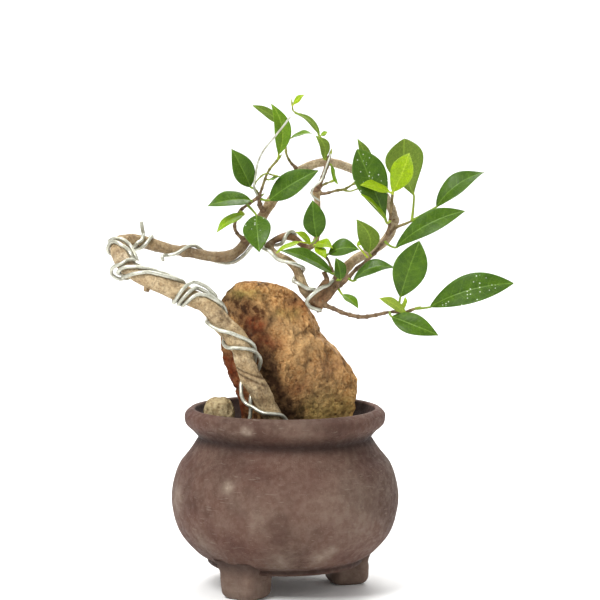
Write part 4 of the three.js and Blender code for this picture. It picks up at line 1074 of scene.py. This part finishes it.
class Finish:
    """A material under way: its node tree, its shader, and the place on the piece in millimetres."""

    def __init__(self, name, **plain):
        self.material = bpy.data.materials.new(name)
        self.material.use_nodes = True
        self.tree = self.material.node_tree
        self.shader = self.tree.nodes["Principled BSDF"]
        for key, value in plain.items():
            self.shader.inputs[key.replace("_", " ")].default_value = value
        self.place = self.squeezed(1, 1, 1)

    def squeezed(self, *shares):
        """Place on the piece in millimetres, squeezed along its axes."""
        coordinates = add(self.tree, "ShaderNodeTexCoord").outputs["Object"]
        scale = tuple(share / MM for share in shares)
        return add(self.tree, "ShaderNodeMapping", Vector=coordinates, Scale=scale).outputs[0]

    def carried(self, name):
        """Value that the mesh carries under a name."""
        return add(self.tree, "ShaderNodeAttribute", {"attribute_name": name}).outputs["Fac"]

    def effect(self, group, place=None, output="Mask", **inputs):
        """One output of a shared effect, placed with its own values."""
        vector = self.place if place is None else place
        node = add(self.tree, "ShaderNodeGroup", {"node_tree": group}, Vector=vector, **inputs)
        return node.outputs[output]

    def patches(self, size, detail, low, high, place=None):
        """Mask of patches."""
        return self.effect(PATCHES, place, Size=size, Detail=detail, Low=low, High=high)

    def grain(self, size, detail):
        """Height of the noise that patches are made of."""
        return self.effect(PATCHES, output="Height", Size=size, Detail=detail)

    def specks(self, size, reach, share, place=None):
        """Mask of specks."""
        return self.effect(SPECKS, place, Size=size, Reach=reach, Share=share)

    def fissures(self, size, width, place=None):
        """Mask of fissures."""
        return self.effect(FISSURES, place, Size=size, Width=width)

    def times(self, first, second):
        """Product of two values."""
        return combine(self.tree, "MULTIPLY", first, second)

    def plus(self, start, *parts):
        """A value plus parts of (value, share), each value taken that many times."""
        for value, share in parts:
            start = combine(self.tree, "ADD", start, self.times(value, share))
        return start

    def spread(self, value, low, high):
        """Value of 0 to 1 spread from low to high."""
        return add(self.tree, "ShaderNodeMapRange", Value=value, To_Min=low, To_Max=high).outputs[0]

    def blend(self, share, first, second):
        """Colour between two, by a share."""
        node = add(self.tree, "ShaderNodeMix", {"data_type": "RGBA"}, n0=share, n6=first, n7=second)
        return node.outputs[2]

    def ramp(self, value, *stops):
        """Colour read from stops of (place, red, green, blue)."""
        node = add(self.tree, "ShaderNodeValToRGB", Fac=value)
        elements = node.color_ramp.elements
        while len(elements) < len(stops):
            elements.new(0.5)
        for element, (place, *colour) in zip(elements, stops):
            element.position, element.color = place, tint(*colour)
        return node.outputs["Color"]

    def layered(self, colour, *layers):
        """Colour under layers of (mask, strength, colour), each laid over all before it."""
        for mask, strength, over in layers:
            colour = self.blend(self.times(mask, strength), colour, over)
        return colour

    def done(self, colour, roughness, height, distance):
        """Joins the colour, the roughness and the relief, which is distance millimetres high."""
        self.tree.links.new(colour, self.shader.inputs["Base Color"])
        self.tree.links.new(roughness, self.shader.inputs["Roughness"])
        bump = add(self.tree, "ShaderNodeBump", Height=height, Distance=distance * MM, Strength=1.0)
        self.tree.links.new(bump.outputs[0], self.shader.inputs["Normal"])
        return self.material


def clay_finish():
    """Unglazed brown clay: cloudy tone, pale dust in rubbed places with a painted sheen among it, painted
    shade in the joints and inside, grit and scratches.
    """
    clay = Finish("clay", Specular_IOR_Level=0.28)
    cloud = clay.patches(22.0, 4.0, 0.35, 0.65)
    mottle = clay.patches(4.0, 5.0, 0.35, 0.65)
    red = clay.patches(45.0, 3.0, 0.42, 0.6)
    worn = clay.patches(5.0, 6.0, 0.42, 0.62)
    grit = clay.specks(1.5, 0.35, 0.3)
    scratch = clay.patches(2.4, 2.0, 0.64, 0.7, clay.squeezed(0.25, 0.25, 1.6))
    # Pale dust, and a painted sheen where the broad spots lie on the belly
    dust_sheen_mask = clay.times(clay.carried("dust"), clay.spread(worn, 0.55, 1.0))
    colour = clay.layered(
        clay.blend(cloud, tint(78, 53, 43), tint(98, 79, 67)),
        (mottle, 0.5, tint(64, 44, 35)),
        (red, 0.3, tint(98, 60, 50)),
        (dust_sheen_mask, 1.0, tint(152, 136, 120)),
        (grit, 0.45, tint(126, 106, 92)),
        (scratch, 0.35, tint(128, 112, 100)),
        (clay.carried("foot"), 0.25, tint(108, 87, 76)),
        # Painted shade in the pot's joints, inside, and on the feet under the belly
        (clay.carried("hollow"), 0.85, tint(40, 24, 19)))
    height = clay.plus(clay.grain(0.7, 4.0), (grit, 0.4), (scratch, -0.3))
    return clay.done(colour, clay.spread(mottle, 0.62, 0.85), height, 0.5)


def soil_finish():
    """Dark potting soil with paler grit and a few bits of moss."""
    soil = Finish("soil", Specular_IOR_Level=0.2)
    clods = soil.patches(3.0, 4.0, 0.35, 0.65)
    grit = soil.specks(1.8, 0.4, 0.25)
    moss = soil.patches(14.0, 5.0, 0.58, 0.68)
    colour = soil.layered(
        soil.ramp(soil.carried("damp"), (0.0, 70, 54, 38), (0.35, 40, 30, 22), (0.75, 30, 22, 17),
                  (1.0, 92, 80, 64)),
        (clods, 0.5, tint(24, 18, 14)),
        (grit, 0.5, tint(98, 84, 68)),
        (moss, 0.6, tint(48, 54, 26)))
    return soil.done(colour, soil.spread(clods, 0.8, 0.98), soil.grain(1.6, 5.0), 1.2)


def rock_finish():
    """Ochre rock: brown and dark blotches, rust, pale lichen, darker at its foot, grain and fissures, and
    painted shade in its creases, low places and the trunk's shadow.
    """
    rock = Finish("rock", Specular_IOR_Level=0.15)
    slanted = rock.squeezed(1.0, 1.0, 0.45)
    cloud = rock.patches(15.0, 5.0, 0.36, 0.66, slanted)
    mottle = rock.patches(4.2, 6.0, 0.4, 0.62)
    fine = rock.patches(1.5, 6.0, 0.4, 0.62)
    pits = rock.specks(4.2, 0.32, 0.4)
    fissures = rock.fissures(20.0, 0.007, slanted)
    ridges = rock.fissures(4.5, 0.02)
    blotched, dotted = rock.spread(mottle, 0.65, 1.0), rock.spread(fine, 0.6, 1.0)
    colour = rock.layered(
        rock.blend(cloud, tint(172, 121, 68), tint(218, 171, 112)),
        (mottle, 0.8, tint(134, 84, 40)),
        (fine, 0.6, tint(214, 170, 114)),
        (rock.times(rock.carried("dark"), blotched), 0.95, tint(56, 32, 14)),
        (rock.times(rock.carried("rust"), dotted), 0.85, tint(124, 54, 24)),
        (rock.times(rock.carried("lichen"), dotted), 0.6, tint(176, 156, 86)),
        (rock.times(rock.carried("pale"), dotted), 0.6, tint(184, 150, 104)),
        (pits, 0.7, tint(76, 40, 20)),
        (fissures, 0.22, tint(58, 34, 18)),
        # Painted shade in the rock's creases and low places, and the trunk's painted shadow
        (rock.carried("hollow"), 0.62, tint(44, 26, 14)))
    height = rock.plus(rock.grain(2.4, 8.0), (pits, -0.5), (fissures, -0.35), (ridges, -0.08))
    return rock.done(colour, rock.spread(mottle, 0.55, 0.85), height, 2.2)


def side_stone_finish():
    """Pale granular stone: sand-coloured grains with brown and grey ones among them."""
    stone = Finish("side_stone", Specular_IOR_Level=0.25)
    mottle = stone.patches(3.5, 6.0, 0.4, 0.62)
    dark = stone.specks(2.6, 0.5, 0.35)
    colour = stone.layered(
        stone.blend(mottle, tint(178, 160, 122), tint(138, 118, 84)),
        (dark, 0.55, tint(88, 68, 44)))
    return stone.done(colour, stone.spread(mottle, 0.75, 0.9), stone.grain(1.8, 7.0), 1.5)


def bark_finish():
    """Smooth tan bark: fine speckle, small pores, fine cracks and painted shade in its hollows, browner in
    places.
    """
    wood = Finish("bark", Specular_IOR_Level=0.25)
    cloud = wood.patches(9.0, 4.0, 0.36, 0.66)
    speckle = wood.patches(1.3, 4.0, 0.44, 0.62)
    pores = wood.specks(1.9, 0.34, 0.4, wood.squeezed(1.0, 1.0, 1.4))
    cracks = wood.fissures(5.0, 0.009, wood.squeezed(1.0, 1.0, 0.7))
    pale = wood.specks(2.7, 0.36, 0.3)
    brown = wood.carried("brown")
    deep = wood.ramp(brown, (0.0, 182, 162, 132), (0.2, 170, 145, 106), (0.5, 124, 105, 80),
                     (1.0, 104, 64, 40))
    light = wood.ramp(brown, (0.0, 208, 192, 164), (0.2, 200, 177, 138), (0.5, 150, 132, 102),
                      (1.0, 148, 104, 72))
    colour = wood.layered(
        wood.blend(cloud, deep, light),
        (speckle, 0.55, tint(134, 108, 74)),
        (pores, 0.4, tint(92, 66, 42)),
        (pale, 0.4, tint(202, 188, 154)),
        # Painted shade in the bark's low places and old wire marks
        (wood.carried("hollow"), 0.75, tint(72, 48, 30)),
        (cracks, 0.5, tint(86, 62, 40)))
    height = wood.plus(wood.grain(1.1, 6.0), (pores, -0.3), (cracks, -0.3))
    return wood.done(colour, wood.spread(speckle, 0.65, 0.85), height, 1.1)


def wire_finish():
    """Dull aluminium wire: pale and softly shining, a little stained and scuffed."""
    wire = Finish("wire", Metallic=0.6, Specular_IOR_Level=0.5)
    stain = wire.patches(5.0, 4.0, 0.4, 0.7)
    scuff = wire.patches(0.8, 3.0, 0.5, 0.62)
    colour = wire.layered(
        wire.blend(stain, tint(198, 198, 184), tint(158, 156, 138)),
        (scuff, 0.3, tint(98, 96, 84)))
    return wire.done(colour, wire.spread(stain, 0.34, 0.5), wire.grain(0.9, 3.0), 0.06)


def leaf_veins_mask(leaf, out):
    """Side veins in colour: the lines of leaf_veins, thinning out towards the edge."""
    bent = leaf.times(combine(leaf.tree, "POWER", out, VEINS["bend"]), VEINS["slant"])
    lean = combine(leaf.tree, "DIVIDE", bent, leaf.carried("slope"))
    course = leaf.times(combine(leaf.tree, "SUBTRACT", leaf.carried("along"), lean), float(VEINS["count"]))
    middle = combine(leaf.tree, "SUBTRACT", combine(leaf.tree, "FRACT", course), 0.5)
    lines = stepped(leaf.tree, combine(leaf.tree, "ABSOLUTE", middle), 0.13, 0.0)
    return leaf.times(lines, combine(leaf.tree, "SUBTRACT", 1.0, out))


def leaf_finish():
    """Leathery leaf: green by its age, pale rib and side veins, dull paler underside, thin painted highlight
    along the edge.
    """
    leaf = Finish("leaf", Specular_IOR_Level=0.24, Subsurface_Weight=0.06,
                  Subsurface_Radius=(0.3, 0.6, 0.1), Subsurface_Scale=0.002)
    out = combine(leaf.tree, "ABSOLUTE", leaf.carried("across"))
    youth, under = leaf.carried("youth"), leaf.carried("under")
    cloud = leaf.patches(6.0, 3.0, 0.3, 0.7)
    fine = leaf.patches(1.1, 4.0, 0.4, 0.62)
    net = leaf.effect(CRACKS, Size=1.5, Width=0.09)
    rib = stepped(leaf.tree, leaf.carried("reach"), 0.6, 0.1)
    # Painted highlight: a thin lit rim round every leaf's edge
    lit_edge = stepped(leaf.tree, out, 0.93, 1.0)
    drops = leaf.times(leaf.specks(1.9, 0.34, 0.16), leaf.carried("fleck"))
    upper = leaf.ramp(youth, (0.0, 66, 97, 0), (0.32, 96, 132, 10), (0.68, 130, 164, 4), (1.0, 154, 182, 2))
    deeper = leaf.ramp(youth, (0.0, 38, 66, 0), (0.32, 64, 98, 2), (0.68, 102, 138, 2), (1.0, 128, 158, 0))
    lower = leaf.ramp(youth, (0.0, 92, 120, 38), (0.32, 100, 120, 36), (0.75, 142, 162, 56),
                      (1.0, 160, 180, 62))
    light = leaf.blend(youth, tint(120, 156, 56), tint(184, 202, 62))
    colour = leaf.layered(
        leaf.blend(leaf.spread(cloud, 0.0, 0.7), upper, deeper),
        (under, 1.0, lower),
        (leaf.carried("shade"), 0.25, tint(70, 100, 6)),
        (leaf_veins_mask(leaf, out), 0.22, light),
        (net, 0.1, light),
        (rib, 0.42, light),
        # Painted highlight along the edge
        (lit_edge, 0.3, light),
        (fine, 0.26, tint(30, 60, 4)),
        (drops, 1.0, tint(222, 230, 208)),
        (leaf.carried("stalk"), 1.0, leaf.blend(youth, tint(122, 144, 42), tint(170, 184, 52))))
    height = leaf.plus(leaf.times(cloud, 0.35), (net, -0.25))
    roughness = leaf.plus(leaf.spread(under, 0.3, 0.55), (fine, 0.08))
    return leaf.done(colour, roughness, height, 0.25)


def twig_finish():
    """Twig bark: warm brown with darker nodes and painted shade in its low places, pale specks, and green on
    the young ends.
    """
    stem = Finish("twig", Specular_IOR_Level=0.3)
    mottle = stem.patches(1.6, 5.0, 0.38, 0.64)
    fresh = stem.times(stem.carried("fresh"), stem.spread(mottle, 1.0, 0.7))
    colour = stem.layered(
        stem.blend(mottle, tint(132, 108, 80), tint(92, 70, 50)),
        (fresh, 1.0, tint(136, 150, 52)),
        (stem.specks(1.5, 0.36, 0.4), 0.45, tint(182, 160, 124)),
        # Painted shade in the low places, with the darker nodes
        (stem.carried("hollow"), 0.55, tint(56, 40, 28)))
    return stem.done(colour, stem.spread(mottle, 0.6, 0.8), stem.grain(0.8, 5.0), 0.3)


# The plant in its pot
def add_piece(name, material, slot, nodes, *makers):
    """One object from the shapes that the makers put in its skin."""
    skin = Skin()
    for make in makers:
        make(skin)
    skin.piece(name, material, slot, *nodes)


def trunk_shape(skin):
    """Whole wood: trunk, leader, roots, stubs and knots."""
    bark(skin, TRUNK, 96, 0.7, TRUNK_BROWN)
    bark(skin, LEADER, 56, 0.6, LEADER_BROWN)
    for points in OFFSHOOTS:
        upper = points[0][0] > 10
        bark(skin, points, 30, 0.7, [0.8, 0.8] if upper else [0.25, 0.35])
    for x, y, z, radius in KNOTS:
        knot_ball(skin, np.array([x, y, z]), radius, 0.7 if x > 0 else 0.45)


def plant():
    """Everything that grows: wood, wires and leafy shoots."""
    bark_material, twig_material = bark_finish(), twig_finish()
    leaf_material, wire_material = leaf_finish(), wire_finish()
    add_piece("trunk_wood", bark_material, "bark", ["trunk"], trunk_shape)
    stems = {"trunk": Stem(TRUNK), "leader": Stem(LEADER)}
    for name, wire in WIRES.items():
        points = wire_points(wire, stems)
        add_piece(name + "_drawn", wire_material, "wire", [name], lambda skin: wire_tube(skin, points))
    for number, (name, spray) in enumerate(SPRAYS.items()):
        draw = np.random.default_rng(100 + number)
        twigs, leaves = Skin(), Skin()
        shoots = [twig(twigs, points, draw) for points in spray["twigs"]]
        for stem in shoots:
            bud(twigs, stem)
        for leaf in spray["leaves"]:
            stalk(leaves, leaf, shoots, draw)
            blade(leaves, leaf, draw)
        twigs.piece(name + "_twigs", twig_material, "foliage", name)
        leaves.piece(name + "_leaves", leaf_material, "foliage", name)


add_piece("clay_pot", clay_finish(), "clay", ["pot"], pot_body, pot_feet)
add_piece("soil_filling", soil_finish(), "soil", ["soil"], soil_body, soil_grains)
add_piece("rock_face", rock_finish(), "rock", ["rock"], rock_body)
add_piece("side_stone_face", side_stone_finish(), "side_stone", ["side_stone"], side_stone_body)
plant()


# Studio
def sweep_finish():
    """Matt pale paint with a very faint unevenness."""
    paint = Finish("sweep_paint", Specular_IOR_Level=0.1)
    cloud = paint.patches(300.0, 2.0, 0.2, 0.8)
    colour = paint.layered(tint(248, 248, 247), (cloud, 0.02, tint(225, 225, 225)))
    return paint.done(colour, paint.spread(cloud, 0.9, 0.95), cloud, 0.0)


def sweep():
    """Studio sweep: a flat floor that curves up into a wall behind, the same across its width."""
    reach, radius = SWEEP["reach"], SWEEP["bend"]
    bend = np.linspace(0, math.pi / 2, 24)
    arc = np.stack([SWEEP["floor"] + radius * np.sin(bend), radius - radius * np.cos(bend)], axis=-1)
    profile = np.vstack([[-reach, 0], arc, [SWEEP["floor"] + radius, reach]])
    grid = points_of([-reach, reach], profile[:, :1], profile[:, 1:])
    number = np.arange(2 * len(profile)).reshape(-1, 2)
    quads = np.stack([number[:-1, 0], number[:-1, 1], number[1:, 1], number[1:, 0]], -1)
    mesh = bpy.data.meshes.new("sweep")
    mesh.from_pydata(placed(grid.reshape(-1, 3)).tolist(), [], quads.tolist())
    mesh.polygons.foreach_set("use_smooth", np.ones(len(mesh.polygons), bool))
    mesh.materials.append(sweep_finish())
    made = bpy.data.objects.new("sweep", mesh)
    bpy.context.scene.collection.objects.link(made)


def area_light(name, at, aim, size, power):
    """Soft square light at a place, turned to face a point."""
    lamp = bpy.data.lights.new(name, "AREA")
    lamp.energy, lamp.size = power, size
    made = bpy.data.objects.new(name, lamp)
    made.location = placed(at)
    made.rotation_euler = Vector(placed(aim) - placed(at)).to_track_quat("-Z", "Y").to_euler()
    bpy.context.scene.collection.objects.link(made)


lens = bpy.data.cameras.new("camera")
lens.lens, lens.sensor_width, lens.clip_end = CAMERA["lens"], CAMERA["sensor"], CAMERA["clip_end"]
camera = bpy.data.objects.new("camera", lens)
camera.location = placed(CAMERA["at"])
camera.rotation_euler = (math.radians(90 - CAMERA["fall"]), 0, 0)
bpy.context.scene.collection.objects.link(camera)
bpy.context.scene.camera = camera

sweep()
for light_name, (at, aim, size, power) in LIGHTS.items():
    area_light(light_name, at, aim, size, power)

world = bpy.data.worlds.new("studio")
world.use_nodes = True
world.node_tree.nodes["Background"].inputs["Color"].default_value = (1, 1, 1, 1)
world.node_tree.nodes["Background"].inputs["Strength"].default_value = WORLD_LIGHT
bpy.context.scene.world = world
bpy.context.scene.view_settings.view_transform = "Standard"
